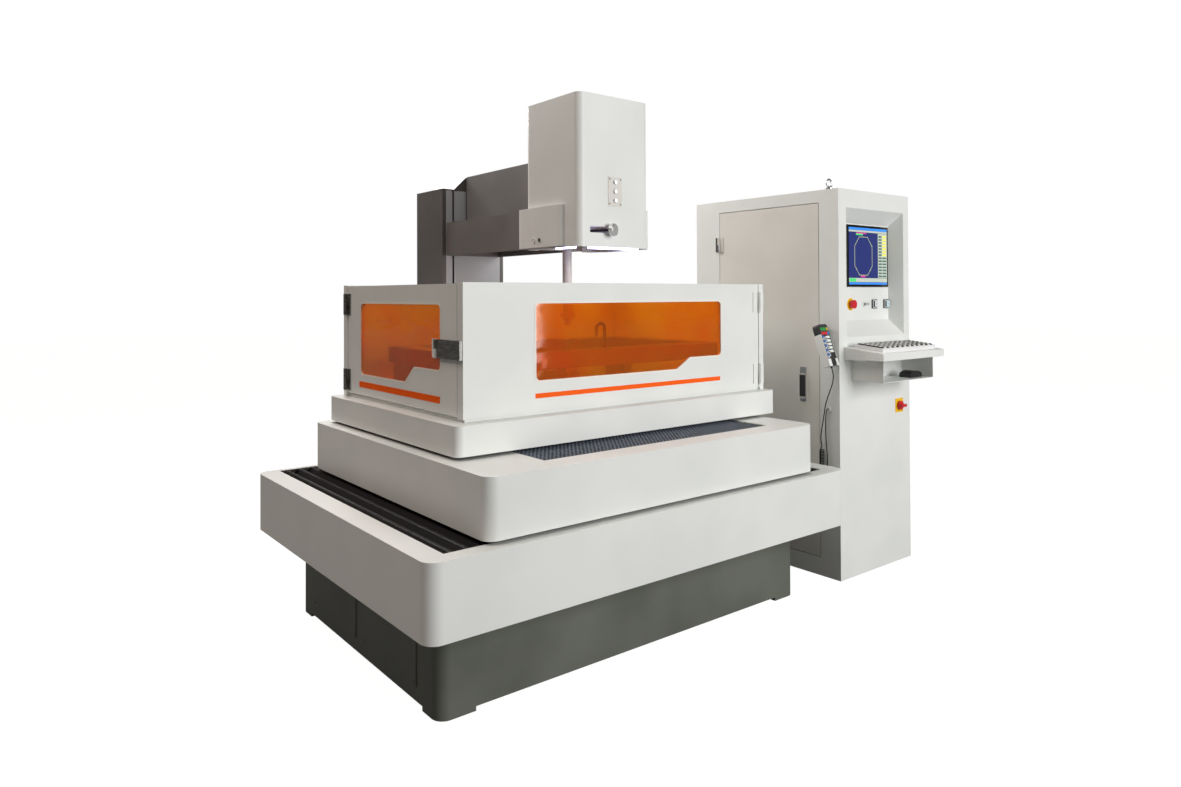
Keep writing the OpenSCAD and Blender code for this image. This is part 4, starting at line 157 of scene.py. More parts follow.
def brushed(name, light, dark, stretch, roughness=0.34):
    """Ground or brushed metal: long fine scratches across the direction that stretch names."""
    made, tree, shader = surface(name, Metallic=1.0, Roughness=roughness)
    place = add(tree, "ShaderNodeTexCoord")
    turned = add(tree, "ShaderNodeMapping", {"Vector": place.outputs["Object"]}, Scale=stretch)
    lines = add(tree, "ShaderNodeTexNoise", {"Vector": turned.outputs["Vector"]}, Scale=220.0, Detail=4.0)
    ramp = add(tree, "ShaderNodeValToRGB", {"Fac": lines.outputs["Fac"]})
    ramp.color_ramp.elements[0].position = 0.3
    ramp.color_ramp.elements[0].color = linear(dark)
    ramp.color_ramp.elements[1].position = 0.7
    ramp.color_ramp.elements[1].color = linear(light)
    tree.links.new(ramp.outputs["Color"], shader.inputs["Base Color"])
    bump = add(tree, "ShaderNodeBump", {"Height": lines.outputs["Fac"]}, Strength=0.3, Distance=0.2 * MM)
    tree.links.new(bump.outputs["Normal"], shader.inputs["Normal"])
    return made


def plain(name, code, **settings):
    """A moulded or printed colour with a faint unevenness in its gloss."""
    made, tree, shader = surface(name, Base_Color=linear(code), **settings)
    place = add(tree, "ShaderNodeTexCoord")
    cloud = add(tree, "ShaderNodeTexNoise", {"Vector": place.outputs["Object"]}, Scale=120.0, Detail=2.0)
    bump = add(tree, "ShaderNodeBump", {"Height": cloud.outputs["Fac"]}, Strength=0.15, Distance=0.2 * MM)
    tree.links.new(bump.outputs["Normal"], shader.inputs["Normal"])
    return made


def amber_sheet():
    """Extruded acrylic tinted amber, with the creases of its protective film."""
    made, tree, shader = surface("amber_acrylic", Roughness=0.06, IOR=1.49)
    shader.inputs["Transmission Weight"].default_value = 0.8
    shader.inputs["Specular IOR Level"].default_value = 0.06
    place = add(tree, "ShaderNodeTexCoord")
    clouds = add(tree, "ShaderNodeTexNoise", {"Vector": place.outputs["Object"]}, Scale=5.0, Detail=2.0)
    ramp = add(tree, "ShaderNodeValToRGB", {"Fac": clouds.outputs["Fac"]})
    ramp.color_ramp.elements[0].position = 0.3
    ramp.color_ramp.elements[0].color = linear("#ff7a00")
    ramp.color_ramp.elements[1].position = 0.7
    ramp.color_ramp.elements[1].color = linear("#ff9206")
    tree.links.new(ramp.outputs["Color"], shader.inputs["Base Color"])
    turned = add(tree, "ShaderNodeMapping", {"Vector": place.outputs["Object"]}, Scale=(1.0, 1.0, 2.2),
                 Rotation=(0.5, 0.4, 0.3))
    creases = add(tree, "ShaderNodeTexNoise", {"Vector": turned.outputs["Vector"]},
                  Scale=5.0, Detail=1.5, Distortion=1.2)
    bump = add(tree, "ShaderNodeBump", {"Height": creases.outputs["Fac"]}, Strength=0.45, Distance=2.5 * MM)
    tree.links.new(bump.outputs["Normal"], shader.inputs["Normal"])
    return made


def glowing(name, code, strength):
    made, tree, shader = surface(name, Base_Color=linear(code), Roughness=0.3)
    shader.inputs["Emission Color"].default_value = linear(code)
    shader.inputs["Emission Strength"].default_value = strength
    return made


def woven_cloth():
    """Coated polyester cloth of the table's way covers: dark blue-grey, in fine rows across the folds.

    The rows are about 18 mm apart, several times the real weave, so that they show in the render.
    """
    made, tree, shader = surface("coated_cloth_woven", Roughness=0.6)
    place = add(tree, "ShaderNodeTexCoord")
    rows = add(tree, "ShaderNodeTexWave", {"Vector": place.outputs["Object"]},
               Scale=18.0, Distortion=2.4, Detail=2.0, Detail_Scale=6.0)
    ramp = add(tree, "ShaderNodeValToRGB", {"Fac": rows.outputs["Fac"]})
    ramp.color_ramp.elements[0].color = linear("#23282f")
    ramp.color_ramp.elements[1].color = linear("#67717e")
    tree.links.new(ramp.outputs["Color"], shader.inputs["Base Color"])
    bump = add(tree, "ShaderNodeBump", {"Height": rows.outputs["Fac"]}, Strength=0.4, Distance=0.8 * MM)
    tree.links.new(bump.outputs["Normal"], shader.inputs["Normal"])
    return made


def two_part(name, axis, edge, near, far, **settings):
    """One finish in two colours, near below the value edge on an axis and far above it."""
    made, tree, shader = surface(name, **settings)
    place = add(tree, "ShaderNodeTexCoord")
    parts = add(tree, "ShaderNodeSeparateXYZ", {"Vector": place.outputs["Object"]})
    behind = add(tree, "ShaderNodeMath", {0: parts.outputs[axis]}, operation="GREATER_THAN")
    behind.inputs[1].default_value = edge
    ramp = add(tree, "ShaderNodeValToRGB", {"Fac": behind.outputs["Value"]})
    ramp.color_ramp.elements[0].color = linear(near)
    ramp.color_ramp.elements[1].color = linear(far)
    tree.links.new(ramp.outputs["Color"], shader.inputs["Base Color"])
    return made


# Sheet steel with a fine textured powder coat: soft, slightly broken highlights
WHITE = grained("powder_coat_white", "#e9ebe8", "#e3e6e3", 1.2, 0.12, Roughness=0.42)
WARM_WHITE = grained("powder_coat_warm", "#e4e2dc", "#dcd9d2", 1.2, 0.12, Roughness=0.42)
# Thick machine enamel over rough castings: wide dull highlights, coarser grain
BED_PAINT = grained("casting_paint_green", "#666a60", "#575b52", 4.0, 0.6, Roughness=0.55)
COLUMN_PAINT = grained("casting_paint_grey", "#625f5d", "#585654", 2.5, 0.4, Roughness=0.45)
ARM_PAINT = grained("sheet_paint_dark", "#7c7a79", "#737170", 1.5, 0.2, Roughness=0.4)
BLOCK_PAINT = grained("arm_block_paint", "#767371", "#6c6967", 2.0, 0.3, Roughness=0.42)
# Blackened hinge steel: metal gloss with long scratches
DARK_STEEL = brushed("dark_steel", "#8b8a86", "#5f5e5a", (1.0, 0.1, 1.0), 0.4)
# Smooth grey enamel on the column's bent sheets
GREY_PAINT = grained("sheet_paint_grey", "#c3c6cb", "#b8bbc1", 1.2, 0.1, Roughness=0.35)
# Rubber-coated cloth of the pan's bellows: black, only the folds' tops catch light
CLOTH = grained("coated_cloth_black", "#0a0a0b", "#070708", 1.5, 0.3, Roughness=0.45, Specular_IOR_Level=0.3)
WOVEN_CLOTH = woven_cloth()
# Ground cast iron of the work table: grey and even
TABLE_CAST = brushed("ground_casting", "#8f9396", "#6d7174", (1.0, 0.05, 1.0), 0.45)
KNOB_LENGTH = 34 * MM
MOUSE_BOX_TOP = 1030 * MM
lever_front = min(v.co.y for v in nodes["tension_lever"].data.vertices)
LEVER_METAL = two_part("lever_metal", "Y", lever_front + KNOB_LENGTH, "#e9ecee", "#2b2c2e",
                       Metallic=0.9, Roughness=0.28)
KEYBOARD_AND_MOUSE = two_part("keyboard_and_mouse_plastic", "Z", MOUSE_BOX_TOP, "#17181a", "#e2e3e4",
                              Roughness=0.4)
# Bare metals: ground ways, turned rods, satin cast aluminium
STEEL = brushed("ground_steel", "#c9ccd0", "#9da1a6", (1.0, 0.05, 1.0))
POLISHED = brushed("turned_steel", "#dfe2e5", "#b9bcc0", (1.0, 1.0, 0.1), 0.2)
ALUMINIUM = brushed("satin_aluminium", "#d8dadc", "#b4b7ba", (0.1, 1.0, 1.0), 0.38)
AMBER = amber_sheet()
# Moulded plastics and rubbers: even colour, gloss by how the mould was finished
BLACK_PLASTIC = grained("moulded_black", "#232427", "#1b1c1f", 0.8, 0.08, Roughness=0.5)
GLOSS_BLACK = plain("glossy_black", "#101114", Roughness=0.18)
YELLOW = plain("moulded_yellow", "#f4c21a", Roughness=0.35)
RED = plain("moulded_red", "#d0202c", Roughness=0.3)
RUBBER = plain("cord_rubber", "#0d0d0e", Roughness=0.7, Specular_IOR_Level=0.2)
ORANGE = plain("orange_film", "#ff6206", Roughness=0.6, Specular_IOR_Level=0.15)
PALE_SEAL = plain("pale_seal", "#f2eee4", Roughness=0.5)

NODE_FINISH = {
    "bed_casting": BED_PAINT, "saddle_casting": BED_PAINT, "table_casting": BED_PAINT,
    "drip_pan": WHITE, "saddle_cover": WHITE, "tray": WHITE, "guard_frame": WHITE,
    "left_door": WHITE, "front_door": WHITE, "head_cover": WHITE, "head_skirt": WHITE,
    "drum_housing": WHITE, "drum_lid": WHITE, "cabinet_shell": WHITE, "cabinet_door": WARM_WHITE,
    "console_panel": WHITE, "keyboard_shelf": WHITE,
    "x_ways": STEEL, "y_ways": STEEL, "x_ball_screw": STEEL, "y_ball_screw": STEEL, "worktable": TABLE_CAST,
    "lower_arm": ALUMINIUM, "cutting_wire": POLISHED, "drum_carriage": STEEL, "wire_drum": POLISHED,
    "taper_slide": STEEL, "head_frame": WARM_WHITE, "tension_lever": LEVER_METAL,
    "cabinet_fittings": POLISHED,
    "column_casting": COLUMN_PAINT, "arm_block": BLOCK_PAINT, "arm_cover": ARM_PAINT,
    "column_covers": GREY_PAINT, "button_plate": WARM_WHITE, "handset_holder": WHITE,
    "left_window": AMBER, "front_window": AMBER, "door_latch": DARK_STEEL,
    "coolant_nozzle": BLACK_PLASTIC, "door_lock_handle": BLACK_PLASTIC, "monitor": GLOSS_BLACK,
    "keyboard_and_mouse": KEYBOARD_AND_MOUSE, "handset": BLACK_PLASTIC, "square_button_left": BLACK_PLASTIC,
    "square_button_right": BLACK_PLASTIC, "switch_plates": YELLOW, "emergency_stop": RED,
    "main_switch_knob": RED,
    "key_switch": POLISHED, "head_button_top": ALUMINIUM, "head_button_middle": ALUMINIUM,
    "head_button_bottom": ALUMINIUM,
    "x_cover_outer": CLOTH, "x_cover_stage": CLOTH, "saddle_way_covers": WOVEN_CLOTH,
    "y_cover_stage": WOVEN_CLOTH, "table_way_covers": WOVEN_CLOTH,
}
for name, finish in NODE_FINISH.items():
    for slot in nodes[name].material_slots:
        slot.material = finish


# Making pieces
def build(name, shape, finish, body, smooth=False):
    """Turns a bmesh into a piece that rides on a body, or on none."""
    bmesh.ops.recalc_face_normals(shape, faces=shape.faces)
    mesh = bpy.data.meshes.new(name)
    shape.to_mesh(mesh)
    shape.free()
    piece = bpy.data.objects.new(name, mesh)
    mesh.materials.append(finish)
    bpy.context.scene.collection.objects.link(piece)
    if smooth:
        mesh.shade_smooth()
    if body:
        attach(piece, body)
    return piece


def add_block(shape, low, high, bevel=0.0):
    """Adds a box between two corners, its edges rounded by bevel."""
    size = Vector(high) - Vector(low)
    middle = (Vector(high) + Vector(low)) / 2
    made = bmesh.ops.create_cube(shape, size=1,
                                 matrix=Matrix.Translation(middle) @ Matrix.Diagonal((*size, 1)))
    if bevel:
        edges = {e for v in made["verts"] for e in v.link_edges}
        bmesh.ops.bevel(shape, geom=list(edges), offset=bevel, segments=2, affect="EDGES", profile=0.5)


def add_ring(shape, inner, outer, place, thickness):
    """Adds a flat frame between two outlines with as many points each."""
    rows = [[shape.verts.new(place(u, v, d)) for u, v in line]
            for line, d in ((inner, 0), (outer, 0), (outer, thickness), (inner, thickness))]
    count = len(inner)
    for i in range(count):
        j = (i + 1) % count
        for a, b in ((0, 1), (1, 2), (2, 3), (3, 0)):
            shape.faces.new((rows[a][i], rows[a][j], rows[b][j], rows[b][i]))


def rounded(points, radius, steps=6):
    """Rounds every corner of an outline."""
    out = []
    count = len(points)
    for i in range(count):
        a, b, c = (Vector(points[(i + k) % count]) for k in (-1, 0, 1))
        u = (a - b).normalized()
        v = (c - b).normalized()
        half = u.angle(v) / 2
        middle = b + (u + v).normalized() * radius / math.sin(half)
        start = b + u * radius / math.tan(half) - middle
        stop = b + v * radius / math.tan(half) - middle
        turn = math.atan2(stop.y, stop.x)
        turn -= math.atan2(start.y, start.x)
        turn = (turn + 3 * math.pi) % (2 * math.pi) - math.pi
        for k in range(steps + 1):
            out.append(tuple(middle + Matrix.Rotation(turn * k / steps, 2) @ start))
    return out


# The cord
def smooth_line(points, steps):
    """The same curve through the route's points as in the CAD source."""
    line = []
    for i in range(len(points) - 1):
        a, b = Vector(points[max(i - 1, 0)]), Vector(points[i])
        c, d = Vector(points[i + 1]), Vector(points[min(i + 2, len(points) - 1)])
        last = i == len(points) - 2
        for k in range(steps + (1 if last else 0)):
            t = k / steps
            line.append((2 * b + t * (c - a) + t * t * (2 * a - 5 * b + 4 * c - d)
                         + t ** 3 * (3 * b - a - 3 * c + d)) / 2)
    return line


def curl_line(rings):
    """Centre line of the curled stretch, opening out from the straight ends and closing again."""
    top, foot = Vector(UPPER_CORD[-1]), Vector(LOWER_CORD[0])
    pitch = (top.z - foot.z - 2 * CORD_D - 2 * CURL_LEAD) / CURL_TURNS
    line = [top]
    for k in range(CURL_TURNS * rings + 1):
        s = k / rings
        opened = min(1, s / CURL_RAMP, (CURL_TURNS - s) / CURL_RAMP)
        radius = opened * (CURL_D - CORD_D) / 2
        drop = pitch * s + CURL_LEAD * (min(1, s / CURL_RAMP) + max(0, (s - CURL_TURNS) / CURL_RAMP + 1))
        turn = 2 * math.pi * s
        line.append(top + Vector((radius * math.cos(turn), radius * math.sin(turn), -CORD_D - drop)))
    line.append(foot)
    return line


def cord_piece(name, line):
    """A round cord along a line, as a curve with no caps left open."""
    curve = bpy.data.curves.new(name, "CURVE")
    curve.dimensions = "3D"
    curve.bevel_depth = CORD_D / 2 * MM
    curve.bevel_resolution = 3
    curve.use_fill_caps = True
    spline = curve.splines.new("POLY")
    spline.points.add(len(line) - 1)
    for point, spot in zip(spline.points, line):
        point.co = (*((Vector(spot) + Vector(PAN_CORNER)) * MM), 1)
    spline.use_smooth = True
    curve.materials.append(RUBBER)
    piece = bpy.data.objects.new(name, curve)
    bpy.context.scene.collection.objects.link(piece)
    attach(piece, "base")
    return piece


def make_cords():
    """The whole cord in three stretches: handset to curl, the curl, and the curl to the gland."""
    upper, lower, curl = smooth_line(UPPER_CORD, 6), smooth_line(LOWER_CORD, 6), curl_line(24)
    stretches = (("handset_cord_upper", upper, "handset_cord"),
                 ("handset_cord_curled", curl, "handset_cord_curl"),
                 ("handset_cord_lower", lower, "handset_cord"))
    for name, line, node in stretches:
        piece = cord_piece(name, line)
        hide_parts(node)


make_cords()


# Pleated way covers: on the machine they fold up as the carriage nears the rim; here each is a fixed mesh
# from the rim to where the carriage stands
PLEAT_T = 1.5 * MM
# One fold from valley to valley: share of its length, share of its depth
FOLD_SHARES = ((0, 1), (0.06, 1), (0.36, 0.08), (0.42, 0), (0.58, 0), (0.64, 0.08), (0.94, 1))


def pleated(name, along, start, end, side0, side1, top, depth, pitch, replaced, cloth=CLOTH):
    """A bellows from the rim at start to the carriage at end, its folds across the axis called along."""
    folds = max(2, round(abs(end - start) / pitch))
    shape = bmesh.new()
    rows = []
    profile = [(i + share, drop) for i in range(folds) for share, drop in FOLD_SHARES]
    profile.append((folds, FOLD_SHARES[0][1]))
    for place, drop in profile:
        spot = start + (end - start) * place / folds
        height = top - depth * drop
        row = []
        for side in (side0, side1):
            for rise in (0, -PLEAT_T):
                point = (spot, side, height + rise) if along == "x" else (side, spot, height + rise)
                row.append(shape.verts.new(point))
        rows.append(row)
    for a, b in zip(rows, rows[1:]):
        shape.faces.new((a[0], a[2], b[2], b[0]))
        shape.faces.new((a[1], b[1], b[3], a[3]))
        shape.faces.new((a[0], b[0], b[1], a[1]))
        shape.faces.new((a[2], a[3], b[3], b[2]))
    for row in (rows[0], rows[-1]):
        shape.faces.new((row[0], row[1], row[3], row[2]))
    piece = build(name, shape, cloth, None)
    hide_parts(*replaced)
    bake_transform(piece)
    return piece


RIM_LAP = 8 * MM
CARRIAGE_FROM_LEFT_RIM = 575.5 * MM
CARRIAGE_FROM_RIGHT_RIM = 380.5 * MM
X_RIGHT_SHORTER = 75 * MM
Y_FROM_RIM = (390 * MM, 40 * MM)
PEDESTAL_LAP = 230 * MM
X_DEPTH, X_PITCH_LEFT, X_PITCH_RIGHT = 20 * MM, 57 * MM, 27 * MM
Y_DEPTH, Y_PITCH_FRONT, Y_PITCH_BACK = 12 * MM, 24 * MM, 11 * MM


def make_bellows():
    mats_low, mats_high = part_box("x_cover_outer")
    wings_low, wings_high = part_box("saddle_way_covers")
    table_low, table_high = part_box("table_way_covers")
    well_low, well_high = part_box("y_cover_stage")
    x_pieces = ("x_cover_outer", "x_cover_stage")
    pleated("bellows_left", "x", mats_low[0] + RIM_LAP, mats_low[0] + CARRIAGE_FROM_LEFT_RIM,
            mats_low[1], mats_high[1], mats_high[2], X_DEPTH, X_PITCH_LEFT, x_pieces)
    pleated("bellows_right", "x", mats_high[0] - RIM_LAP, mats_high[0] - CARRIAGE_FROM_RIGHT_RIM,
            mats_low[1], mats_high[1] - X_RIGHT_SHORTER, mats_high[2], X_DEPTH, X_PITCH_RIGHT,
            x_pieces)
    y_pieces = ("saddle_way_covers", "y_cover_stage", "table_way_covers")
    pleated("bellows_front", "y", table_low[1] - Y_FROM_RIM[0], table_low[1] + PEDESTAL_LAP,
            well_low[0], well_high[0], wings_high[2], Y_DEPTH, Y_PITCH_FRONT,
            y_pieces, WOVEN_CLOTH)
    pleated("bellows_back", "y", table_high[1] + Y_FROM_RIM[1], table_high[1] - PEDESTAL_LAP,
            well_low[0], well_high[0], wings_high[2], Y_DEPTH, Y_PITCH_BACK,
            y_pieces, WOVEN_CLOTH)


make_bellows()


# Doors: window seals and orange stripes
FRONT_WINDOW = [(310, 116), (1041, 116), (1120, 163), (1316, 163), (1316, 403), (310, 403)]
LEFT_WINDOW = [(123, 155), (333, 155), (411, 91), (837, 91), (837, 395), (123, 395)]
SEAL_W = 7


def grown(points, by):
    """Moves an outline that turns left outwards by a distance."""
    out = []
    count = len(points)
    for i in range(count):
        a, b, c = (Vector(points[(i + k) % count]) for k in (-1, 0, 1))
        u, v = (a - b).normalized(), (c - b).normalized()
        side = 1 if (b - a).cross(c - b) > 0 else -1
        out.append(tuple(b - side * (u + v).normalized() * by / math.sin(u.angle(v) / 2)))
    return out


def make_window_seals():
    front_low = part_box("front_door")[0]
    wall_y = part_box("front_window")[0][1] - 4 * MM
    left_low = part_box("left_door")[0]
    wall_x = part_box("left_window")[0][0] - 4 * MM
    for name, node, points, place, body in (
            ("front_window_seal", "front_door", FRONT_WINDOW,
             lambda u, v, d: (front_low[0] + u, wall_y - d, front_low[2] + v), "front_door"),
            ("left_window_seal", "left_door", LEFT_WINDOW,
             lambda u, v, d: (wall_x - d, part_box("left_door")[0][1] + u, left_low[2] + v), "left_door")):
        shape = bmesh.new()
        inner = rounded([(u * MM, v * MM) for u, v in points], 18 * MM)
        outer = rounded([(u * MM, v * MM) for u, v in grown(points, SEAL_W)], (18 + SEAL_W) * MM)
        add_ring(shape, inner, outer, place, 1.2 * MM)
        build(name, shape, PALE_SEAL, body)


make_window_seals()


def make_plate(name, low, high, finish, body, bevel=0.0):
    """A thin block between two corners, in millimetres from the pan's front left corner."""
    shape = bmesh.new()
    add_block(shape, at(*low), at(*high), bevel * MM)
    return build(name, shape, finish, body)


def make_stripes():
    make_plate("front_stripe", (633, 367.2, 965), (1637, 368, 983), ORANGE, "front_door")
    make_plate("left_stripe", (326.2, 536, 955), (327, 1265, 980), ORANGE, "left_door")


make_stripes()


# Steel hinges on the painted guard: thin skins over the knuckles and leaves
SKIN = 0.4


FACING_FRONT = Matrix.Rotation(math.pi / 2, 4, "X")
FACING_LEFT = Matrix.Rotation(-math.pi / 2, 4, "Y")


def add_stud(shape, spot, foot, crown, height, segments, turn):
    """Adds a screw head or the like: a cone frustum that points where turn says."""
    bmesh.ops.create_cone(shape, cap_ends=True, segments=segments, radius1=foot * MM, radius2=crown * MM,
                          depth=height * MM, matrix=Matrix.Translation(at(*spot)) @ turn)


def make_hinges():
    pivot_x, pivot_y, radius = 316, 1392.5, 9
    for name, z0, z1 in (("low", 933, 1026), ("high", 1266, 1359)):
        middle = (z0 + z1) / 2
        for part, body, a, b, y0, y1 in (("fixed", "table", z0, middle - 0.3, pivot_y + 10.5, pivot_y + 40),
                                         ("door", "left_door", middle + 0.3, z1,
                                          pivot_y - 40, pivot_y - 10.5)):
            shape = bmesh.new()
            add_stud(shape, (pivot_x, pivot_y, (a + b) / 2), radius + SKIN, radius + SKIN,
                     b - a + SKIN / 2, 32, Matrix())
            add_block(shape, at(322.6, y0, z0 - SKIN), at(325, y1, z1 + SKIN), 0.3 * MM)
            for spot in (z0 + 16, z1 - 16):
                add_stud(shape, (321.8, (y0 + y1) / 2, spot), 4.5, 3, 2, 20, FACING_LEFT)
            build("guard_hinge_" + name + "_" + part, shape, DARK_STEEL, body)


make_hinges()


# Monitor: a plain drawing program with no words
SCREEN_X0, SCREEN_X1 = 2390, 2723
SCREEN_Z0, SCREEN_Z1 = 1396, 1679
SCREEN_Y = 206


def screen_piece(name, blocks, finish, lift=0.5):
    shape = bmesh.new()
    for x0, z0, x1, z1 in blocks:
        add_block(shape, at(SCREEN_X0 + x0, SCREEN_Y - lift, SCREEN_Z0 + z0),
                  at(SCREEN_X0 + x1, SCREEN_Y - lift + 0.4, SCREEN_Z0 + z1))
    build(name, shape, finish, "base")


def make_screen():
    wide, high = SCREEN_X1 - SCREEN_X0, SCREEN_Z1 - SCREEN_Z0
    side = 252
    screen_piece("screen_field", [(0, 0, wide, high)], glowing("screen_blue", "#1f2b66", 0.5))
    screen_piece("screen_title", [(0, high - 12, wide, high), (0, 0, wide, 10)],
                 glowing("screen_title_blue", "#2f7bd6", 0.7), 0.9)
    bars = [(0, high - 22, wide, high - 13), (side, 34, wide, high - 24), (0, 12, wide, 32)]
    screen_piece("screen_bars", bars, glowing("screen_grey", "#aeb6a8", 0.5), 0.9)
    rows = 14
    step = (high - 66) / rows
    yellow = [(side + 40, 38 + i * step, wide - 6, 38 + (i + 0.55) * step) for i in range(rows // 2, rows)]
    dark = [(side + 6, 38 + i * step, side + 34, 38 + (i + 0.55) * step) for i in range(rows)]
    dark += [(side + 40, 38 + i * step, wide - 6, 38 + (i + 0.55) * step) for i in range(rows // 2)]
    screen_piece("screen_cells_yellow", yellow, glowing("screen_yellow", "#d8d04a", 0.6), 1.3)
    screen_piece("screen_cells_dark", dark, glowing("screen_teal", "#3f5f5c", 0.5), 1.3)
    screen_piece("screen_marks_green", [(4, 14, 58, 30), (60, high - 38, 120, high - 30)],
                 glowing("screen_green", "#3ec46a", 0.6), 1.3)
    screen_piece("screen_marks_pink", [(100, 36, 140, 44), (62, high - 30, 150, high - 24)],
                 glowing("screen_pink", "#c23a8c", 0.6), 1.3)
    shape = bmesh.new()
    half_w, half_h, cut_w, cut_h = 76, 96, 40, 46
    outline = [(half_w, -half_h + cut_h), (half_w, half_h - cut_h), (half_w - cut_w, half_h),
               (cut_w - half_w, half_h), (-half_w, half_h - cut_h), (-half_w, cut_h - half_h),
               (cut_w - half_w, -half_h), (half_w - cut_w, -half_h)]
    middle_x, middle_z = SCREEN_X0 + 124, SCREEN_Z0 + 142
    add_ring(shape, [(u * 0.98, v * 0.984) for u, v in outline], outline,
             lambda u, v, d: at(middle_x + u, SCREEN_Y - 1.2 + d, middle_z + v), 0.4)
    build("screen_octagon", shape, glowing("screen_line", "#c9d08e", 0.8), "base")


make_screen()


BUTTON_Z = 1298
SQUARE = ((-1, -1), (1, -1), (1, 1), (-1, 1))


def make_button_lenses():
    for name, x, code in (("left", 2615, "#e4e8ea"), ("right", 2720, "#c4dfe8")):
        shape = bmesh.new()
        inner, outer = [rounded([(x + side * half, BUTTON_Z + rise * half) for side, rise in SQUARE], radius)
                        for half, radius in ((19.2, 1.5), (23, 3))]
        add_ring(shape, inner, outer, lambda u, v, d: at(u, 208 + d, v), 4)
        build("square_button_frame_" + name, shape, BLACK_PLASTIC, "base")
        make_plate("square_button_lens_" + name, (x - 14, 197.2, 1284), (x + 14, 198, 1312),
                   plain("lens_" + name, code, Roughness=0.2), "square_" + name, 0.3)
        make_plate("square_button_mark_" + name, (x - 3, 196.9, 1295), (x + 3, 197.3, 1301),
                   plain("mark_" + name, "#5b6670", Roughness=0.4), "square_" + name)


make_button_lenses()


# Keyboard: caps repeated by Geometry Nodes
KEY_COLUMNS, KEY_ROWS = 21, 6
KEY_STEP_X, KEY_STEP_Y = 21.2, 22.5
KEYBOARD_TOP_Z = 1093.0
KEYBOARD_SLOPE = 0.10145
SHELF_FRONT_Y = -65


def cap_mesh(name, width, depth, height, finish):
    """One key cap: a tapered block with rounded edges, its foot on the plane Z = 0."""
    shape = bmesh.new()
    bmesh.ops.create_cube(shape, size=1, matrix=Matrix.Translation((0, 0, height / 2))
                          @ Matrix.Diagonal((width, depth, height, 1)))
    for corner in shape.verts:
        if corner.co.z > height / 2:
            corner.co.x *= 0.8
            corner.co.y *= 0.78
    bmesh.ops.bevel(shape, geom=list(shape.edges), offset=width * 0.05, segments=2, affect="EDGES")
    mesh = bpy.data.meshes.new(name)
    shape.to_mesh(mesh)
    shape.free()
    mesh.materials.append(finish)
    source = bpy.data.objects.new(name, mesh)
    bpy.context.scene.collection.objects.link(source)
    return source


def repeat_tree(source, finish):
    """A node tree that sets the source on every point of a grid."""
    tree = bpy.data.node_groups.new("repeat_on_grid", "GeometryNodeTree")
    sockets = (("Columns", "NodeSocketInt"), ("Rows", "NodeSocketInt"),
               ("Width", "NodeSocketFloat"), ("Depth", "NodeSocketFloat"))
    for label, kind in sockets:
        tree.interface.new_socket(label, in_out="INPUT", socket_type=kind)
    tree.interface.new_socket("Geometry", in_out="OUTPUT", socket_type="NodeSocketGeometry")
    start = add(tree, "NodeGroupInput")
    grid = add(tree, "GeometryNodeMeshGrid",
               {"Vertices X": start.outputs["Columns"], "Vertices Y": start.outputs["Rows"],
                "Size X": start.outputs["Width"], "Size Y": start.outputs["Depth"]})
    cap = add(tree, "GeometryNodeObjectInfo", Object=source)
    copies = add(tree, "GeometryNodeInstanceOnPoints",
                 {"Points": grid.outputs["Mesh"], "Instance": cap.outputs["Geometry"]})
    real = add(tree, "GeometryNodeRealizeInstances", {"Geometry": copies.outputs["Instances"]})
    painted = add(tree, "GeometryNodeSetMaterial", {"Geometry": real.outputs["Geometry"]}, Material=finish)
    end = add(tree, "NodeGroupOutput")
    tree.links.new(painted.outputs["Geometry"], end.inputs["Geometry"])
    return tree


def repeated(name, source, finish, columns, rows, step_x, step_y, place, body):
    """Sets copies of the source on a grid and puts the whole at place, as one plain mesh."""
    holder = bpy.data.objects.new(name + "_holder", bpy.data.meshes.new(name + "_holder"))
    bpy.context.scene.collection.objects.link(holder)
    modifier = holder.modifiers.new("repeat", "NODES")
    modifier.node_group = repeat_tree(source, finish)
    values = (columns, rows, (columns - 1) * step_x, (rows - 1) * step_y)
    inputs = [item for item in modifier.node_group.interface.items_tree if item.in_out == "INPUT"]
    for item, value in zip(inputs, values):
        modifier[item.identifier] = value
    bpy.context.view_layer.update()
    ready = holder.evaluated_get(bpy.context.evaluated_depsgraph_get())
    mesh = bpy.data.meshes.new_from_object(ready)
    mesh.transform(place)
    bpy.data.objects.remove(holder)
    bpy.data.objects.remove(source)
    piece = bpy.data.objects.new(name, mesh)
    if not mesh.materials:
        mesh.materials.append(finish)
    bpy.context.scene.collection.objects.link(piece)
    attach(piece, body)
    return piece


def make_keyboard():
    tilt = Matrix.Rotation(math.atan(KEYBOARD_SLOPE), 4, "X")
    middle_y = 36.0
    top = KEYBOARD_TOP_Z + (middle_y - SHELF_FRONT_Y) * KEYBOARD_SLOPE
    pale = plain("key_bed", "#d6d7d4", Roughness=0.5)
    shape = bmesh.new()
    add_block(shape, (-0.228, -0.072, 0), (0.228, 0.072, 0.8 * MM), 0.2 * MM)
    shape.transform(Matrix.Translation(at(2517, middle_y, top)) @ tilt)
    build("keyboard_bed", shape, pale, "base")
    for name, finish, columns, step_x, shift in (("dark", GLOSS_BLACK, 11, 2 * KEY_STEP_X, 0),
                                                 ("pale", pale, 10, 2 * KEY_STEP_X, 0)):
        caps = cap_mesh("key_cap_" + name, 17.5 * MM, 18 * MM, 6 * MM, finish)
        repeated("keyboard_keys_" + name, caps, finish, columns, KEY_ROWS, step_x * MM, KEY_STEP_Y * MM,
                 Matrix.Translation(at(2517 + shift, middle_y, top)) @ tilt, "base")


make_keyboard()


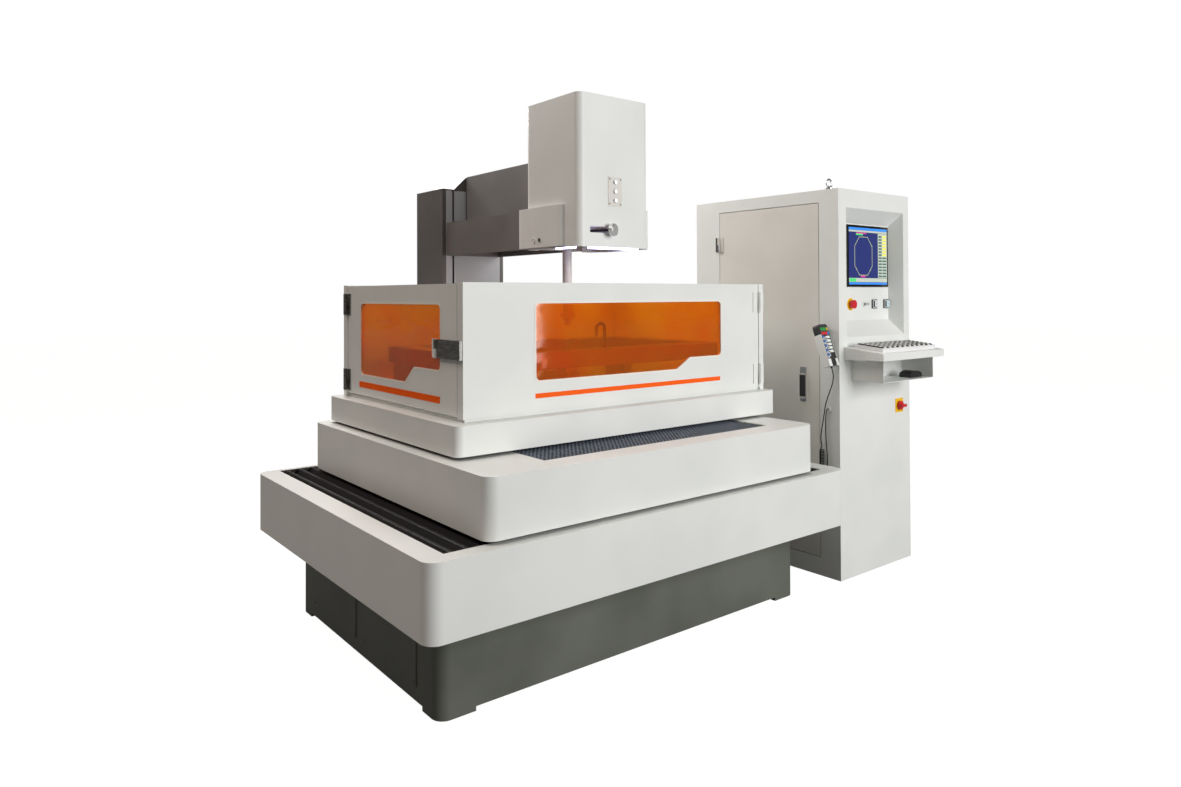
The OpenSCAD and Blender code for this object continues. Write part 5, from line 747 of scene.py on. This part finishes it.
# Handset keys, in the handset's own tilted frame
HANDSET_AT = (2212, 188, 1108)
HANDSET_TILT = math.radians(-19)
HANDSET_FACE = -18
KEY_PROUD, KEY_SUNK, KEY_EDGE = 2.2, 0.2, 0.9


def handset_keys(name, blocks, finish):
    """Keys given as x0, z0, x1, z1 on the handset's face."""
    shape = bmesh.new()
    for x0, z0, x1, z1 in blocks:
        add_block(shape, Vector((x0, HANDSET_FACE - KEY_PROUD, z0)) * MM,
                  Vector((x1, HANDSET_FACE + KEY_SUNK, z1)) * MM, KEY_EDGE * MM)
    shape.transform(Matrix.Translation(at(*HANDSET_AT)) @ Matrix.Rotation(HANDSET_TILT, 4, "X"))
    build(name, shape, finish, "base")


def make_handset_keys():
    wide = [(-73 + i * 15, z) for i in range(3) for z in (66, 46)]
    handset_keys("handset_keys_green", [(x, z, x + 13, z + 15) for x, z in wide if z == 66],
                 plain("key_green", "#1f9a3d", Roughness=0.35))
    handset_keys("handset_keys_red", [(x, z, x + 13, z + 15) for x, z in wide if z == 46],
                 plain("key_red", "#cf2333", Roughness=0.35))
    handset_keys("handset_key_yellow", [(-27, 66, -18, 81)], plain("key_yellow", "#f0b410", Roughness=0.35))
    column = [(-73, 34 - i * 11, -63, 42 - i * 11) for i in range(10)]
    handset_keys("handset_keys_blue", [(-27, 46, -18, 61)] + column[::2],
                 plain("key_blue", "#2a86dc", Roughness=0.35))
    handset_keys("handset_keys_pale", column[1::2] + [(-59, 30 - i * 11, -51, 37 - i * 11) for i in range(9)],
                 plain("key_pale", "#dfe2ef", Roughness=0.35))
    handset_keys("handset_keys_white", [(-47, 28 - i * 17, -20, 40 - i * 17) for i in range(5)],
                 plain("key_white", "#e6ebe6", Roughness=0.35))


make_handset_keys()


def make_head_details():
    glow = glowing("led_violet", "#cfc4ff", 9.0)
    make_plate("led_bar_front", (920, 403, 1534), (1180, 414, 1542), glow, "head", 0.8)
    make_plate("led_bar_left", (869, 430, 1536), (877, 560, 1545), glow, "head", 0.8)
    shape = bmesh.new()
    for z in (1719, 1820):
        for x in (1022, 1078):
            add_stud(shape, (x, 393.6, z), 3, 2.4, 1.2, 16, FACING_FRONT)
    build("button_plate_screws", shape, DARK_STEEL, "head")
    shape = bmesh.new()
    for radius, out in ((9, 1.0), (6, 1.6)):
        add_stud(shape, (842 - out / 2 + 0.1, 640, 1578), radius, radius * 0.9, out, 32, FACING_LEFT)
    build("skirt_socket", shape, DARK_STEEL, "head")


make_head_details()


LOCK_FACE_X = 2208


def make_lock_plate():
    grey = plain("lock_grey", "#8b8f92", Roughness=0.35)
    face = LOCK_FACE_X
    shape = bmesh.new()
    inner = rounded([(332, 838), (362, 838), (362, 962), (332, 962)], 5)
    outer = rounded([(329, 824), (365, 824), (365, 993), (329, 993)], 7)
    add_ring(shape, inner, outer, lambda u, v, d: at(face - 0.2 + d, u, v), 0.2)
    build("lock_plate_skin", shape, grey, "cabinet_door")
    shape = bmesh.new()
    add_stud(shape, (face - 0.8, 347, 831), 4, 3.4, 1.6, 24, FACING_LEFT)
    build("lock_key", shape, plain("lock_blue", "#2b6fb0", Roughness=0.35), "cabinet_door")


make_lock_plate()


# Studio
FLOOR_SEEN = 0.97
FLOOR_IN_REFLECTIONS = 0.2


def add_lamp(name, spot, aim, size, power, colour=(1, 1, 1)):
    lamp = bpy.data.objects.new(name, bpy.data.lights.new(name, "AREA"))
    lamp.data.size = size
    lamp.data.energy = power
    lamp.data.color = colour
    lamp.location = spot
    lamp.rotation_euler = (Vector(aim) - Vector(spot)).to_track_quat("-Z", "Y").to_euler()
    bpy.context.scene.collection.objects.link(lamp)
    return lamp


def skip(lamp, node):
    """Keeps a lamp's light off one piece, as a flag on the studio's lamp stand would."""
    shaded = bpy.data.collections.new(lamp.name + "_flag")
    shaded.objects.link(node)
    lamp.light_linking.receiver_collection = shaded
    shaded.collection_objects[0].light_linking.link_state = "EXCLUDE"


def make_floor():
    shape = bmesh.new()
    bmesh.ops.create_grid(shape, x_segments=1, y_segments=1, size=30)
    floor = bpy.data.objects.new("floor", bpy.data.meshes.new("floor"))
    shape.to_mesh(floor.data)
    shape.free()
    bpy.context.scene.collection.objects.link(floor)
    made, tree, shader = surface("studio_floor", Base_Color=(0.1, 0.1, 0.1, 1), Roughness=0.9)
    rays = add(tree, "ShaderNodeLightPath")
    mirrored = add(tree, "ShaderNodeMath", {0: rays.outputs["Is Glossy Ray"]}, operation="MULTIPLY")
    mirrored.inputs[1].default_value = FLOOR_IN_REFLECTIONS
    strength = add(tree, "ShaderNodeMath", {0: rays.outputs["Is Camera Ray"], 2: mirrored.outputs["Value"]},
                   operation="MULTIPLY_ADD")
    strength.inputs[1].default_value = FLOOR_SEEN
    white = add(tree, "ShaderNodeEmission", {"Strength": strength.outputs["Value"]}, Color=(1, 1, 1, 1))
    joined = add(tree, "ShaderNodeAddShader", {0: shader.outputs["BSDF"], 1: white.outputs["Emission"]})
    tree.links.new(joined.outputs["Shader"], tree.nodes["Material Output"].inputs["Surface"])
    floor.data.materials.append(made)


def make_world():
    """White where the camera looks past the machine, a dim warm room for everything else."""
    world = bpy.data.worlds.new("studio")
    bpy.context.scene.world = world
    world.use_nodes = True
    tree = world.node_tree
    rays = add(tree, "ShaderNodeLightPath")
    seen = add(tree, "ShaderNodeMath",
               {0: rays.outputs["Is Camera Ray"], 1: rays.outputs["Is Transmission Ray"]},
               operation="MAXIMUM")
    room = tree.nodes["Background"]
    room.inputs["Color"].default_value = (1.0, 0.86, 0.76, 1)
    room.inputs["Strength"].default_value = 0.16
    past = add(tree, "ShaderNodeBackground", Color=(1, 1, 1, 1), Strength=1.0)
    both = add(tree, "ShaderNodeMixShader", {"Fac": seen.outputs["Value"], 1: room.outputs["Background"],
                                             2: past.outputs["Background"]})
    tree.links.new(both.outputs["Shader"], tree.nodes["World Output"].inputs["Surface"])


make_floor()
make_world()
add_lamp("key", (1.6, -7.0, 2.4), (0.2, 0, 0.9), 4.0, 374)
add_lamp("top", (-0.6, 0.0, 5.6), (0, 0, 0.9), 3.0, 60)
skip(add_lamp("left", (-3.8, 0.3, 5.6), (0, 0, 0.9), 3.0, 110, (1.0, 0.88, 0.8)), nodes["bed_casting"])
add_lamp("cabinet", (-0.5, 2.2, 3.2), (0.85, -0.3, 1.3), 1.2, 68)
bpy.context.scene.view_settings.view_transform = "Standard"
